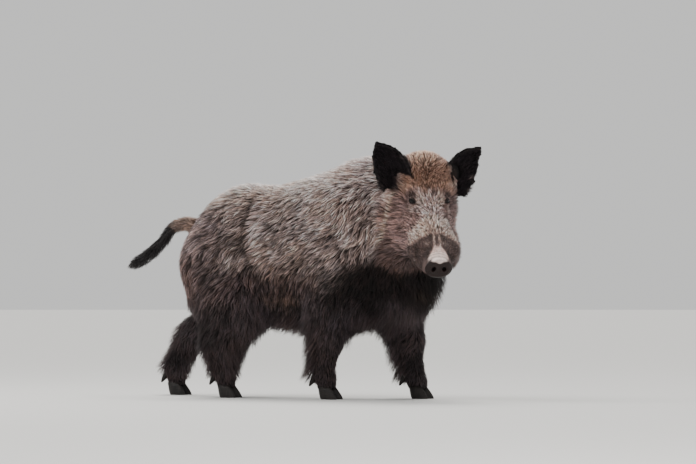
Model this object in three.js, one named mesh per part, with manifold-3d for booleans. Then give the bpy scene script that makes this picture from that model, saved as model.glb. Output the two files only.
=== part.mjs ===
// Wild boar (Sus scrofa), a life-size still model in mid stride, its head turned to its right.
//
// Millimetres, +X towards the front of the trunk, +Y to the animal's left, +Z up, floor at z = 0.
// The flesh is one smooth field: lofted trunk and head, tapering limb bones and rounded muscles that
// melt into each other. Each named part is that field turned into a faceted solid and cut by planes,
// so neighbours meet face to face with a thin gap. The solids reach out to the tips of the coat.
import * as THREE from "three";
import { mergeVertices } from "three/addons/utils/BufferGeometryUtils.js";
import Module from "manifold-3d";

const wasm = await Module();
wasm.setup();

// ---------------------------------------------------------------- driving dimensions
const GAP = 0.3; // between neighbouring solids
const WELD = 0.05; // points of a cut edge closer than this are one point
const HEAD_TURN = THREE.MathUtils.degToRad(-50); // yaw of the head, towards the right flank
const HEAD_DROP = THREE.MathUtils.degToRad(33); // how far the snout points below the horizon
const HEAD_LENGTH = 352; // back of the jaws to the back of the snout disc
const HEAD_ORIGIN = new THREE.Vector3(440, -20, 628); // on the snout's axis, between the jaw angles
const TRACK = { front: 108, hind: 102 }; // half the distance between left and right feet

// facet sizes
const TRUNK_CELL = 46;
const NECK_CELL = 40.5;
const HEAD_CELL = 24;
const LEG_CELL = 30;

const COLOUR = {
  coat: 0x6a5f58,
  face: 0x7d6a5a,
  leg: 0x221f1f,
  ear: 0x1c1a1b,
  disc: 0x6e4a44,
  eye: 0x0d0a08,
  hoof: 0x2a2522,
};

// ---------------------------------------------------------------- field helpers
const mix = (a, b, t) => a + (b - a) * t;
const clamp = (v, low, high) => Math.min(high, Math.max(low, v));

function smoothMin(a, b, k) {
  const h = Math.max(k - Math.abs(a - b), 0) / k;
  return Math.min(a, b) - (h * h * k) / 4;
}
const smoothMax = (a, b, k) => -smoothMin(-a, -b, k);

// A tapering, round-ended bone between two points; tall > 1 makes its section taller than wide.
function bone(from, to, startRadius, endRadius, tall = 1) {
  const [ax, ay, az] = from;
  const dx = to[0] - ax;
  const dy = (to[1] - ay) * tall;
  const dz = to[2] - az;
  const lengthSq = dx * dx + dy * dy + dz * dz;
  return (x, y, z) => {
    const px = x - ax;
    const py = (y - ay) * tall;
    const pz = z - az;
    const t = clamp((px * dx + py * dy + pz * dz) / lengthSq, 0, 1);
    return Math.hypot(px - dx * t, py - dy * t, pz - dz * t) - mix(startRadius, endRadius, t);
  };
}

// A rounded muscle: an ellipsoid, tipped nose-down by pitch (radians).
function muscle(centre, radii, pitch = 0) {
  const c = Math.cos(pitch);
  const s = Math.sin(pitch);
  return (x, y, z) => {
    const dx = x - centre[0];
    const dz = z - centre[2];
    const px = (dx * c - dz * s) / radii[0];
    const py = (y - centre[1]) / radii[1];
    const pz = (dx * s + dz * c) / radii[2];
    const k0 = Math.hypot(px, py, pz);
    const k1 = Math.hypot(px / radii[0], py / radii[1], pz / radii[2]);
    return k1 < 1e-9 ? -Math.min(...radii) : (k0 * (k0 - 1)) / k1;
  };
}

// Smooth curve through a station table's column, by Hermite pieces.
function columnAt(stations, column, x) {
  const last = stations.length - 1;
  const at = clamp(x, stations[0][0], stations[last][0]);
  let i = 0;
  while (i < last - 1 && stations[i + 1][0] < at) i += 1;
  const slope = (j) => {
    const a = stations[Math.max(j - 1, 0)];
    const b = stations[Math.min(j + 1, last)];
    return (b[column] - a[column]) / (b[0] - a[0]);
  };
  const [p, q] = [stations[i], stations[i + 1]];
  const width = q[0] - p[0];
  const t = (at - p[0]) / width;
  const [t2, t3] = [t * t, t * t * t];
  return (
    (2 * t3 - 3 * t2 + 1) * p[column] +
    (t3 - 2 * t2 + t) * width * slope(i) +
    (3 * t2 - 2 * t3) * q[column] +
    (t3 - t2) * width * slope(i + 1)
  );
}

// A body lofted along X through sections [x, top, bottom, halfWidth]. `low` is how high the widest
// line runs, as a share of the section's height; the exponents square off its upper and lower half.
function loft(stations, { low, upper, lower, endRound }) {
  const first = stations[0][0];
  const end = stations[stations.length - 1][0];
  return (x, y, z) => {
    const top = columnAt(stations, 1, x);
    const bottom = columnAt(stations, 2, x);
    const half = columnAt(stations, 3, x);
    const middle = mix(bottom, top, low);
    const above = z > middle;
    const reach = above ? top - middle : middle - bottom;
    const n = above ? upper : lower;
    const r = (Math.abs(y / half) ** n + Math.abs((z - middle) / reach) ** n) ** (1 / n);
    return smoothMax((r - 1) * Math.min(half, reach), Math.max(first - x, x - end), endRound);
  };
}

function blend(k, ...fields) {
  return (x, y, z) => {
    let d = fields[0](x, y, z);
    for (let i = 1; i < fields.length; i += 1) d = smoothMin(d, fields[i](x, y, z), k);
    return d;
  };
}

// ---------------------------------------------------------------- trunk
// [x, top line, belly line, half width]: buttock, croup, loin, ribs, withers, breast
const TRUNK = [
  [-432, 556, 430, 80],
  [-386, 620, 364, 112],
  [-322, 684, 326, 138],
  [-240, 718, 304, 150],
  [-110, 708, 272, 165],
  [20, 733, 246, 176],
  [120, 760, 240, 172],
  [230, 782, 262, 160],
  [330, 780, 290, 148],
  [410, 752, 330, 126],
];

const trunk = loft(TRUNK, { low: 0.46, upper: 2.0, lower: 2.15, endRound: 90 });

function trunkMuscles(side) {
  return [
    muscle([-286, 84 * side, 440], [134, 84, 164], 0.15), // haunch
    muscle([208, 92 * side, 520], [126, 84, 186], -0.12), // shoulder
  ];
}

const neckRoot = [300, 0, 556];
const neck = bone(neckRoot, [HEAD_ORIGIN.x + 6, HEAD_ORIGIN.y - 14, HEAD_ORIGIN.z + 26], 204, 114, 1.32);
const mane = bone([230, 0, 690], [HEAD_ORIGIN.x + 18, HEAD_ORIGIN.y - 24, HEAD_ORIGIN.z + 88], 92, 66, 1.6);
const breast = muscle([392, 4, 392], [72, 100, 108], 0.2);
const throat = bone([392, -10, 450], [470, -84, 540], 78, 60, 1.1);

// ---------------------------------------------------------------- head, in its own frame
// x runs from the jaw angles (0) to the snout disc, z up across the face, y to its left
const HEAD = [
  [-40, 128, -96, 84],
  [0, 152, -112, 94],
  [45, 156, -118, 97],
  [92, 138, -110, 90],
  [135, 114, -100, 84],
  [180, 93, -92, 79],
  [230, 74, -80, 71],
  [285, 52, -68, 60],
  [330, 36, -53, 48],
  [HEAD_LENGTH + 12, 30, -50, 43],
];
const EYE = { at: [118, 51, 92], radius: 13 };
const MOUTH = { corner: 196, drop: -36, slope: 0.05 }; // the lip line, below the snout's axis

const headCore = loft(HEAD, { low: 0.34, upper: 2.1, lower: 2.3, endRound: 30 });
const headParts = [
  headCore,
  ...[1, -1].flatMap((side) => [
    muscle([92, 52 * side, 116], [34, 26, 18], 0.35), // brow
    muscle([112, 60 * side, 12], [64, 30, 36], 0.1), // cheekbone
    muscle([120, 75 * side, -89], [88, 44, 70], 0), // jowl and its beard
    muscle([250, 55 * side, 0], [50, 32, 36], 0), // upper lip over the canine
  ]),
  muscle([4, -10, 162], [56, 82, 50], 0), // tuft on the crown
];
const headLocal = blend(22, ...headParts);

const headMatrix = new THREE.Matrix4()
  .makeRotationFromEuler(new THREE.Euler(0, HEAD_DROP, HEAD_TURN, "ZYX"))
  .setPosition(HEAD_ORIGIN);
const headInverse = headMatrix.clone().invert();
const fromHead = ([x, y, z]) => new THREE.Vector3(x, y, z).applyMatrix4(headMatrix);

const scratch = new THREE.Vector3();
function head(x, y, z) {
  scratch.set(x, y, z).applyMatrix4(headInverse);
  return headLocal(scratch.x, scratch.y, scratch.z);
}

// ---------------------------------------------------------------- legs
// Joints of each leg at [x, height], on the line of its track, with the coat's radius at each joint.
const LEGS = {
  front_left: {
    side: 1,
    pair: "front",
    joints: [[236, 420], [292, 312], [330, 190], [342, 96], [364, 44]],
    radii: [92, 76, 49, 34, 34],
    toe: 411,
    slab: [190, 470],
  },
  front_right: {
    side: -1,
    pair: "front",
    joints: [[196, 420], [152, 312], [146, 190], [126, 96], [144, 44]],
    radii: [92, 76, 49, 34, 34],
    toe: 191,
    slab: [40, 272],
  },
  hind_left: {
    side: 1,
    pair: "hind",
    joints: [[-290, 440], [-310, 302], [-502, 220], [-584, 98], [-574, 44]],
    radii: [112, 80, 50, 33, 33],
    toe: -527,
    slab: [-720, -186],
  },
  hind_right: {
    side: -1,
    pair: "hind",
    joints: [[-300, 440], [-224, 300], [-262, 190], [-262, 98], [-246, 44]],
    radii: [112, 102, 64, 34, 33],
    toe: -199,
    slab: [-450, -88],
  },
};

function legField({ side, pair, joints, radii }) {
  const bones = [];
  for (let i = 0; i + 1 < joints.length; i += 1) {
    const spot = (j) => [joints[j][0], TRACK[pair] * side, joints[j][1]];
    bones.push(bone(spot(i), spot(i + 1), radii[i], radii[i + 1]));
  }
  return blend(26, ...bones);
}

const legFields = Object.fromEntries(Object.entries(LEGS).map(([name, leg]) => [name, legField(leg)]));

// ---------------------------------------------------------------- the whole body
const torso = blend(70, trunk, ...trunkMuscles(1), ...trunkMuscles(-1), neck, mane, breast, throat);
const legs = (x, y, z) =>
  Math.min(...Object.values(legFields).map((field) => field(x, y, z)));
const trunkAndLegs = (x, y, z) => smoothMin(torso(x, y, z), legs(x, y, z), 45);
const body = (x, y, z) => smoothMin(trunkAndLegs(x, y, z), head(x, y, z), 50);

// ---------------------------------------------------------------- field to solid
function solidFrom(positions, indices) {
  return new wasm.Manifold(
    new wasm.Mesh({
      numProp: 3,
      vertProperties: new Float32Array(positions),
      triVerts: new Uint32Array(indices),
    }),
  );
}

// Moves a point onto the field's zero surface along its gradient.
function settle(field, p, cell) {
  const e = 0.5;
  for (let pass = 0; pass < 3; pass += 1) {
    const d = field(...p);
    const g = [0, 1, 2].map((axis) => {
      const q = [...p];
      q[axis] += e;
      return (field(...q) - d) / e;
    });
    const steepness = g[0] ** 2 + g[1] ** 2 + g[2] ** 2;
    if (steepness < 0.05) return;
    const step = clamp(d / steepness, -cell / 3, cell / 3);
    for (let axis = 0; axis < 3; axis += 1) p[axis] -= g[axis] * step;
  }
}

// Surface nets: one vertex in each grid cell that the surface crosses, one quad across each crossed
// grid edge. The field is closed off at the box, which the cuts remove later.
function polygonise(field, box, cell) {
  const [low, high] = box;
  const count = [0, 1, 2].map((a) => Math.ceil((high[a] - low[a]) / cell) + 1);
  const place = (i, j, k) => [low[0] + i * cell, low[1] + j * cell, low[2] + k * cell];
  const id = (i, j, k) => (k * count[1] + j) * count[0] + i;
  const values = new Float64Array(count[0] * count[1] * count[2]);
  for (let k = 0; k < count[2]; k += 1)
    for (let j = 0; j < count[1]; j += 1)
      for (let i = 0; i < count[0]; i += 1) {
        const edge = [i, j, k].some((n, a) => n === 0 || n === count[a] - 1);
        values[id(i, j, k)] = edge ? cell : field(...place(i, j, k));
      }

  const positions = [];
  const vertexOf = new Int32Array(values.length).fill(-1);
  const corners = [0, 1, 2, 3, 4, 5, 6, 7].map((n) => [n & 1, (n >> 1) & 1, n >> 2]);
  const edges = [];
  corners.forEach((a, m) =>
    corners.forEach((b, n) => {
      if (n > m && Math.abs(a[0] - b[0]) + Math.abs(a[1] - b[1]) + Math.abs(a[2] - b[2]) === 1)
        edges.push([a, b]);
    }),
  );
  for (let k = 0; k + 1 < count[2]; k += 1)
    for (let j = 0; j + 1 < count[1]; j += 1)
      for (let i = 0; i + 1 < count[0]; i += 1) {
        const sum = [0, 0, 0];
        let crossings = 0;
        for (const [a, b] of edges) {
          const va = values[id(i + a[0], j + a[1], k + a[2])];
          const vb = values[id(i + b[0], j + b[1], k + b[2])];
          if (va < 0 === vb < 0) continue;
          const t = va / (va - vb);
          for (let axis = 0; axis < 3; axis += 1) sum[axis] += mix(a[axis], b[axis], t);
          crossings += 1;
        }
        if (!crossings) continue;
        const p = place(i, j, k).map((v, axis) => v + (sum[axis] / crossings) * cell);
        const inside = p.every((v, axis) => v > low[axis] + 1.2 * cell && v < high[axis] - 1.2 * cell);
        if (inside) settle(field, p, cell);
        vertexOf[id(i, j, k)] = positions.length / 3;
        positions.push(...p);
      }

  const indices = [];
  const spot = (v) => new THREE.Vector3().fromArray(positions, v * 3);
  const quad = (a, b, c, d) => {
    if (spot(a).distanceTo(spot(c)) < spot(b).distanceTo(spot(d))) indices.push(a, b, c, a, c, d);
    else indices.push(a, b, d, b, c, d);
  };
  for (let k = 0; k + 1 < count[2]; k += 1)
    for (let j = 0; j + 1 < count[1]; j += 1)
      for (let i = 0; i + 1 < count[0]; i += 1)
        for (let axis = 0; axis < 3; axis += 1) {
          const next = [i, j, k];
          next[axis] += 1;
          const here = values[id(i, j, k)] < 0;
          if (here === values[id(...next)] < 0) continue;
          const [u, v] = [(axis + 1) % 3, (axis + 2) % 3];
          const around = [[-1, -1], [0, -1], [0, 0], [-1, 0]].map(([du, dv]) => {
            const at = [i, j, k];
            at[u] += du;
            at[v] += dv;
            return vertexOf[id(...at)];
          });
          if (here) quad(...around);
          else quad(...around.reverse());
        }
  return solidFrom(positions, indices);
}

// Keeps the side of the plane that its normal points to, GAP / 2 clear of the plane.
function keep(solid, normal, point) {
  const n = normal.clone().normalize();
  return solid.trimByPlane([n.x, n.y, n.z], n.dot(point) + GAP / 2);
}
const cutOff = (solid, normal, point) => keep(solid, normal.clone().negate(), point);

// The solid as a geometry; points closer than WELD are joined and the triangles they close up dropped.
function geometryOf(solid) {
  const mesh = solid.getMesh();
  const raw = new THREE.BufferGeometry();
  raw.setAttribute("position", new THREE.BufferAttribute(mesh.vertProperties.slice(), 3));
  raw.setIndex(new THREE.BufferAttribute(mesh.triVerts.slice(), 1));
  const geometry = mergeVertices(raw, WELD);
  const corners = geometry.index.array;
  const kept = [];
  for (let i = 0; i < corners.length; i += 3) {
    const [a, b, c] = corners.slice(i, i + 3);
    if (a !== b && b !== c && c !== a) kept.push(a, b, c);
  }
  geometry.setIndex(kept);
  geometry.computeVertexNormals();
  return geometry;
}

function solidOf(geometry, matrix) {
  const bare = geometry.index ? geometry.toNonIndexed() : geometry.clone();
  bare.deleteAttribute("normal");
  bare.deleteAttribute("uv");
  if (matrix) bare.applyMatrix4(matrix);
  const merged = mergeVertices(bare, 1e-3);
  return solidFrom(merged.attributes.position.array, merged.index.array);
}

// The largest piece, where a cut leaves a crumb beside it.
function largest(solid) {
  return solid.decompose().sort((a, b) => b.volume() - a.volume())[0];
}

// A closed solid through rings of equally many points, with a fan over each end.
function throughRings(rings) {
  const n = rings[0].length;
  const positions = rings.flat().flatMap((p) => [p.x, p.y, p.z]);
  const indices = [];
  for (let r = 0; r + 1 < rings.length; r += 1)
    for (let i = 0; i < n; i += 1) {
      const [a, b] = [r * n + i, r * n + ((i + 1) % n)];
      indices.push(a, b, b + n, a, b + n, a + n);
    }
  const fan = (ring, start, reverse) => {
    const centre = ring.reduce((sum, p) => sum.add(p), new THREE.Vector3()).divideScalar(n);
    const hub = positions.length / 3;
    positions.push(centre.x, centre.y, centre.z);
    for (let i = 0; i < n; i += 1) {
      const [a, b] = [start + i, start + ((i + 1) % n)];
      if (reverse) indices.push(b, a, hub);
      else indices.push(a, b, hub);
    }
  };
  fan(rings[0], 0, true);
  fan(rings[rings.length - 1], (rings.length - 1) * n, false);
  const solid = solidFrom(positions, indices);
  return solid.volume() > 0 ? solid : solidFrom(positions, indices.reverse());
}

// ---------------------------------------------------------------- where the body is parted
const neckCut = { point: new THREE.Vector3(322, 0, 560), normal: new THREE.Vector3(1, -0.12, 0.1) };

// The block that belongs to the head, from behind the ears and the jaw angles forwards.
const HEAD_BLOCK = { back: -8, bottom: -166, long: 460, wide: 300, tall: 456 };

function headBlock(grow) {
  const { back, bottom, long, wide, tall } = HEAD_BLOCK;
  const box = new THREE.BoxGeometry(long + grow, wide + grow, tall + grow);
  box.translate(back + long / 2, 0, bottom + tall / 2);
  return solidOf(box, headMatrix);
}

// The block in front of the corner of the mouth and below the lip line: the lower jaw.
const JAW_BLOCK = { long: 260, wide: 400, tall: 180 };

function jawBlock(grow) {
  const { long, wide, tall } = JAW_BLOCK;
  const box = new THREE.BoxGeometry(long + grow, wide, tall + grow);
  box.translate(long / 2, 0, -tall / 2);
  box.rotateY(MOUTH.slope);
  box.translate(MOUTH.corner, 0, MOUTH.drop);
  return solidOf(box, headMatrix);
}

// Below a plane that rises outwards from the groin, what lies in a leg's block belongs to the leg.
const LEG_CUT = {
  front: { height: 292, roll: 0.3 },
  hind: { height: 322, roll: 0.32 },
};
const LEG_BLOCK = { inner: 18, wide: 260, bottom: -40, tall: 560 };

function legBlock(leg, grow) {
  const { height, roll } = LEG_CUT[leg.pair];
  const { inner, wide, bottom, tall } = LEG_BLOCK;
  const [back, front] = leg.slab;
  const box = new THREE.BoxGeometry(front - back + grow, wide + grow, tall);
  box.translate((front + back) / 2, (inner + wide / 2) * leg.side, bottom + tall / 2);
  const down = new THREE.Vector3(0, Math.sin(roll) * leg.side, -Math.cos(roll));
  const hinge = new THREE.Vector3(0, (TRACK[leg.pair] + 22) * leg.side, height);
  return solidOf(box).trimByPlane([down.x, down.y, down.z], down.dot(hinge) - grow / 2);
}

// ---------------------------------------------------------------- sub-parts
const parts = new THREE.Group();
const materials = Object.fromEntries(
  Object.entries(COLOUR).map(([name, color]) => [
    name,
    new THREE.MeshStandardMaterial({
      color,
      roughness: name === "eye" ? 0.08 : name === "hoof" ? 0.45 : 0.85,
      metalness: 0,
    }),
  ]),
);

function addPart(name, solid, material) {
  const mesh = new THREE.Mesh(geometryOf(solid), materials[material]);
  mesh.name = name;
  parts.add(mesh);
}

function makeTrunk() {
  const box = [[-640, -330, 90], [480, 330, 900]];
  let solid = cutOff(polygonise(body, box, TRUNK_CELL), neckCut.normal, neckCut.point);
  solid = solid.subtract(headBlock(GAP * 2));
  for (const leg of Object.values(LEGS)) solid = solid.subtract(legBlock(leg, GAP * 2));
  return largest(solid);
}

function makeNeck() {
  const box = [[220, -330, 200], [700, 300, 900]];
  let solid = keep(polygonise(body, box, NECK_CELL), neckCut.normal, neckCut.point);
  solid = solid.subtract(headBlock(GAP * 2));
  for (const leg of [LEGS.front_left, LEGS.front_right]) solid = solid.subtract(legBlock(leg, GAP * 2));
  return largest(solid);
}

// The head ends in a flat face behind the snout disc; the lower jaw is parted along the lips.
function makeHead() {
  const reach = 334;
  const [c, r] = [fromHead([150, 0, 10]), reach];
  const box = [[c.x - r, c.y - r, c.z - r], [c.x + r, c.y + r, c.z + r]];
  const forward = new THREE.Vector3(1, 0, 0).transformDirection(headMatrix);
  let solid = polygonise(body, box, HEAD_CELL).intersect(headBlock(0));
  solid = largest(cutOff(solid, forward, fromHead([HEAD_LENGTH, 0, 0])));
  for (const side of [1, -1]) {
    const socket = new THREE.SphereGeometry(EYE.radius + GAP, 12, 8);
    const at = fromHead([EYE.at[0], EYE.at[1] * side, EYE.at[2]]);
    solid = solid.subtract(solidOf(socket, new THREE.Matrix4().setPosition(at)));
  }
  return { head: largest(solid.subtract(jawBlock(GAP * 2))), jaw: largest(solid.intersect(jawBlock(0))) };
}

// The rooting disc: an ellipse, a little flat along its upper rim, with two nostrils.
const DISC = { halfWidth: 43, halfHeight: 33, thick: 15, bevel: 4, drop: 9 };
const NOSTRIL = { out: 17, up: 2, halfWidth: 7, halfHeight: 9 };

function makeDisc() {
  const outline = new THREE.Shape();
  outline.absellipse(0, 0, DISC.halfWidth - DISC.bevel, DISC.halfHeight - DISC.bevel, 0, Math.PI * 2);
  for (const side of [1, -1]) {
    const hole = new THREE.Path();
    hole.absellipse(
      NOSTRIL.out * side, NOSTRIL.up, NOSTRIL.halfWidth, NOSTRIL.halfHeight, 0, Math.PI * 2, true, 0.35 * side,
    );
    outline.holes.push(hole);
  }
  const slab = new THREE.ExtrudeGeometry(outline, {
    depth: DISC.thick - 2 * DISC.bevel,
    bevelThickness: DISC.bevel,
    bevelSize: DISC.bevel,
    bevelSegments: 1,
    curveSegments: 8,
  });
  slab.translate(0, 0, DISC.bevel + GAP);
  const upright = new THREE.Matrix4().makeBasis(
    new THREE.Vector3(0, 1, 0),
    new THREE.Vector3(0, 0, 1),
    new THREE.Vector3(1, 0, 0),
  );
  return solidOf(
    slab,
    headMatrix.clone().multiply(new THREE.Matrix4().setPosition(HEAD_LENGTH, 0, -DISC.drop)).multiply(upright),
  );
}

function makeEye(side) {
  const ball = new THREE.SphereGeometry(EYE.radius, 12, 8);
  const at = fromHead([EYE.at[0], EYE.at[1] * side, EYE.at[2]]);
  return solidOf(ball, new THREE.Matrix4().setPosition(at));
}

// An ear is a cone that opens into a leaf: arcs of growing chord and shrinking sweep, up to the tip.
const EAR = { length: 170, halfWidth: 72, thick: 9, rings: 8, across: 6 };
const EARS = {
  ear_left: { root: [22, 78, 92], tip: [-12, 176, 202], facing: [0.95, 0.2, 0] },
  ear_right: { root: [31, -82, 102], tip: [-5, -176, 240], facing: [0.9, -0.38, 0.05] },
};

function makeEar({ root, tip, facing }) {
  const base = fromHead(root);
  const axis = fromHead(tip).sub(base);
  axis.setLength(EAR.length);
  const up = axis.clone().normalize();
  const front = new THREE.Vector3(...facing).transformDirection(headMatrix);
  front.addScaledVector(up, -front.dot(up)).normalize();
  const across = new THREE.Vector3().crossVectors(up, front);
  const rings = [];
  for (let r = 0; r < EAR.rings; r += 1) {
    const t = r / (EAR.rings - 1);
    const leaf = Math.sin(Math.PI * clamp(0.24 + 0.76 * t, 0, 1)) ** 0.8;
    const half = Math.max(EAR.halfWidth * leaf, 3);
    const sweep = mix(1.95, 0.62, clamp(t * 1.5, 0, 1)); // half the arc's angle
    const radius = half / Math.sin(Math.min(sweep, Math.PI / 2));
    const thick = EAR.thick * mix(1.25, 0.6, t);
    const centre = base.clone().addScaledVector(axis, t);
    centre.addScaledVector(front, radius * 0.55 * (1 - t) + radius * 0.8 * t - 8);
    const arc = (turn, r2) =>
      centre
        .clone()
        .addScaledVector(across, Math.sin(turn) * r2)
        .addScaledVector(front, -Math.cos(turn) * r2);
    const ring = [];
    for (let i = 0; i <= EAR.across; i += 1) ring.push(arc(mix(-sweep, sweep, i / EAR.across), radius));
    for (let i = EAR.across - 1; i > 0; i -= 1) {
      const turn = mix(-sweep, sweep, i / EAR.across);
      const inset = thick * Math.sqrt(1 - (turn / sweep) ** 4) + 0.6;
      ring.push(arc(turn, Math.max(radius - inset, radius * 0.35)));
    }
    rings.push(ring);
  }
  return throughRings(rings);
}

// Cuts a piece back to its neighbour's surface and to that surface moved out by the gap.
function seat(piece, neighbour, away) {
  const n = away.clone().setLength(GAP * 1.4);
  return largest(piece.subtract(neighbour).subtract(neighbour.translate([n.x, n.y, n.z])));
}

// ---------------------------------------------------------------- tail
const TAIL = {
  path: [
    [-420, 0, 566],
    [-470, 0, 582],
    [-524, -4, 570],
    [-560, -8, 524],
    [-606, -10, 486],
    [-664, -8, 454],
    [-706, -4, 434],
  ],
  radii: [26, 21, 18, 16, 17, 15, 4],
  rings: 14,
  sides: 9,
  tasselFrom: 0.52,
};

function makeTail() {
  const curve = new THREE.CatmullRomCurve3(TAIL.path.map((p) => new THREE.Vector3(...p)));
  const side = new THREE.Vector3(0, 1, 0);
  const rings = [];
  for (let r = 0; r < TAIL.rings; r += 1) {
    const t = r / (TAIL.rings - 1);
    const centre = curve.getPoint(t);
    const up = new THREE.Vector3().crossVectors(curve.getTangent(t), side).normalize();
    const spot = t * (TAIL.radii.length - 1);
    const i = Math.min(Math.floor(spot), TAIL.radii.length - 2);
    const radius = mix(TAIL.radii[i], TAIL.radii[i + 1], spot - i);
    const ring = [];
    for (let s = 0; s < TAIL.sides; s += 1) {
      const turn = (s / TAIL.sides) * Math.PI * 2;
      ring.push(
        centre
          .clone()
          .addScaledVector(side, Math.cos(turn) * radius)
          .addScaledVector(up, Math.sin(turn) * radius),
      );
    }
    rings.push(ring);
  }
  const whole = throughRings(rings);
  const cutAt = curve.getPoint(TAIL.tasselFrom);
  const along = curve.getTangent(TAIL.tasselFrom);
  return { dock: cutOff(whole, along, cutAt), tassel: keep(whole, along, cutAt) };
}

// ---------------------------------------------------------------- feet
const HOOF = { length: 66, width: 29, height: 42, cleft: 5, toeSlope: 0.6, heelSlope: 0.3, splay: 0.1 };
const DEWCLAW = { radius: 10, length: 34, height: 72, apart: 19 };

// One claw: rings from the flat sole up to the coronet, pointed at the toe and round at the heel.
function makeClaw(leg, inner) {
  const sides = 10;
  const rings = [];
  const outward = inner ? -1 : 1;
  for (const [share, grow] of [[0, 0.95], [0.4, 1], [1, 0.9]]) {
    const z = HOOF.height * share;
    const front = HOOF.length * 0.62 * grow - z * HOOF.toeSlope;
    const back = -HOOF.length * 0.38 * grow - z * HOOF.heelSlope;
    const half = (HOOF.width / 2) * grow;
    const ring = [];
    for (let s = 0; s < sides; s += 1) {
      const turn = (s / sides) * Math.PI * 2;
      const c = Math.cos(turn);
      const x = mix(back, front, (c + 1) / 2);
      const taper = 1 - 0.35 * ((c + 1) / 2) ** 2;
      ring.push(new THREE.Vector3(x, Math.sin(turn) * half * taper, z));
    }
    rings.push(ring);
  }
  const place = new THREE.Matrix4()
    .makeRotationZ(HOOF.splay * outward * leg.side)
    .setPosition(
      leg.toe - HOOF.length * 0.62,
      (TRACK[leg.pair] + outward * (HOOF.width + HOOF.cleft) * 0.5) * leg.side,
      0,
    );
  for (const ring of rings) ring.forEach((p) => p.applyMatrix4(place));
  return throughRings(rings);
}

function makeDewclaw(leg, inner) {
  const sides = 6;
  const outward = inner ? -1 : 1;
  const joint = leg.joints[3];
  const along = new THREE.Vector3(-0.42, 0.28 * outward * leg.side, -0.86).normalize();
  const start = new THREE.Vector3(
    joint[0] - 22,
    (TRACK[leg.pair] + outward * DEWCLAW.apart) * leg.side,
    DEWCLAW.height,
  );
  const acrossA = new THREE.Vector3(0, 1, 0).cross(along).normalize();
  const acrossB = along.clone().cross(acrossA);
  const rings = [[-0.35, 1], [0.45, 1], [1, 0.3]].map(([share, grow]) =>
    Array.from({ length: sides }, (_, s) => {
      const turn = (s / sides) * Math.PI * 2;
      return start
        .clone()
        .addScaledVector(along, DEWCLAW.length * share)
        .addScaledVector(acrossA, Math.cos(turn) * DEWCLAW.radius * grow)
        .addScaledVector(acrossB, Math.sin(turn) * DEWCLAW.radius * grow);
    }),
  );
  return { solid: throughRings(rings), away: new THREE.Vector3(-1, 0, 0) };
}

// Upper and lower leg, cut at the knee or hock and again level above the claws.
function makeLeg(name) {
  const leg = LEGS[name];
  const y = TRACK[leg.pair] * leg.side;
  const xs = leg.joints.map(([x]) => x);
  const low = [Math.min(...xs) - 236, y - 197, -34];
  const high = [Math.max(...xs) + 230, y + 190, 560];
  const whole = polygonise(body, [low, high], LEG_CELL);
  const inSlab = largest(whole.intersect(legBlock(leg, 0)));
  const up = new THREE.Vector3(0, 0, 1);
  const shod = largest(keep(inSlab, up, new THREE.Vector3(0, 0, HOOF.height)));
  const [[kneeX, kneeZ], [ankleX, ankleZ]] = [leg.joints[2], leg.joints[3]];
  const below = new THREE.Vector3(kneeX - ankleX, 0, kneeZ - ankleZ).normalize();
  const at = new THREE.Vector3(mix(kneeX, ankleX, 0.22), 0, mix(kneeZ, ankleZ, 0.22));
  return { upper: largest(keep(shod, below, at)), lower: largest(cutOff(shod, below, at)), whole: shod };
}

// ---------------------------------------------------------------- assembly
const trunkSolid = makeTrunk();
addPart("trunk", trunkSolid, "coat");
const neckSolid = makeNeck();
addPart("neck", neckSolid, "coat");

const { head: headSolid, jaw } = makeHead();
addPart("head", headSolid, "face");
addPart("lower_jaw", jaw, "face");
addPart("snout_disc", makeDisc(), "disc");
addPart("eye_left", makeEye(1), "eye");
addPart("eye_right", makeEye(-1), "eye");
for (const [name, ear] of Object.entries(EARS)) {
  const root = fromHead(ear.root);
  const onHead = seat(makeEar(ear), headSolid, fromHead(ear.tip).sub(root));
  addPart(name, seat(onHead, neckSolid, root.sub(new THREE.Vector3(...neckRoot))), "ear");
}

const tail = makeTail();
addPart("tail_dock", seat(tail.dock, trunkSolid, new THREE.Vector3(-1, 0, 0)), "coat");
addPart("tail_tassel", tail.tassel, "ear");

for (const [name, leg] of Object.entries(LEGS)) {
  const solids = makeLeg(name);
  addPart(`leg_${name}_upper`, solids.upper, "leg");
  addPart(`leg_${name}_lower`, solids.lower, "leg");
  for (const inner of [true, false]) {
    const which = inner ? "inner" : "outer";
    addPart(`hoof_${name}_${which}`, makeClaw(leg, inner), "hoof");
    const dewclaw = makeDewclaw(leg, inner);
    addPart(`dewclaw_${name}_${which}`, seat(dewclaw.solid, solids.whole, dewclaw.away), "hoof");
  }
}

// The origin is under the middle of the whole model, on the floor.
const bounds = new THREE.Box3().setFromObject(parts);
const centre = bounds.getCenter(new THREE.Vector3());
parts.position.set(-centre.x, -centre.y, 0);

export default parts;
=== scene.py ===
"""A life-size wild boar in its winter coat: one skin, horn, eyes and a coat of solid tufts."""
import math

import bmesh
import bpy
import numpy as np
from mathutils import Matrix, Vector
from mathutils.bvhtree import BVHTree
from mathutils.kdtree import KDTree


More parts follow.
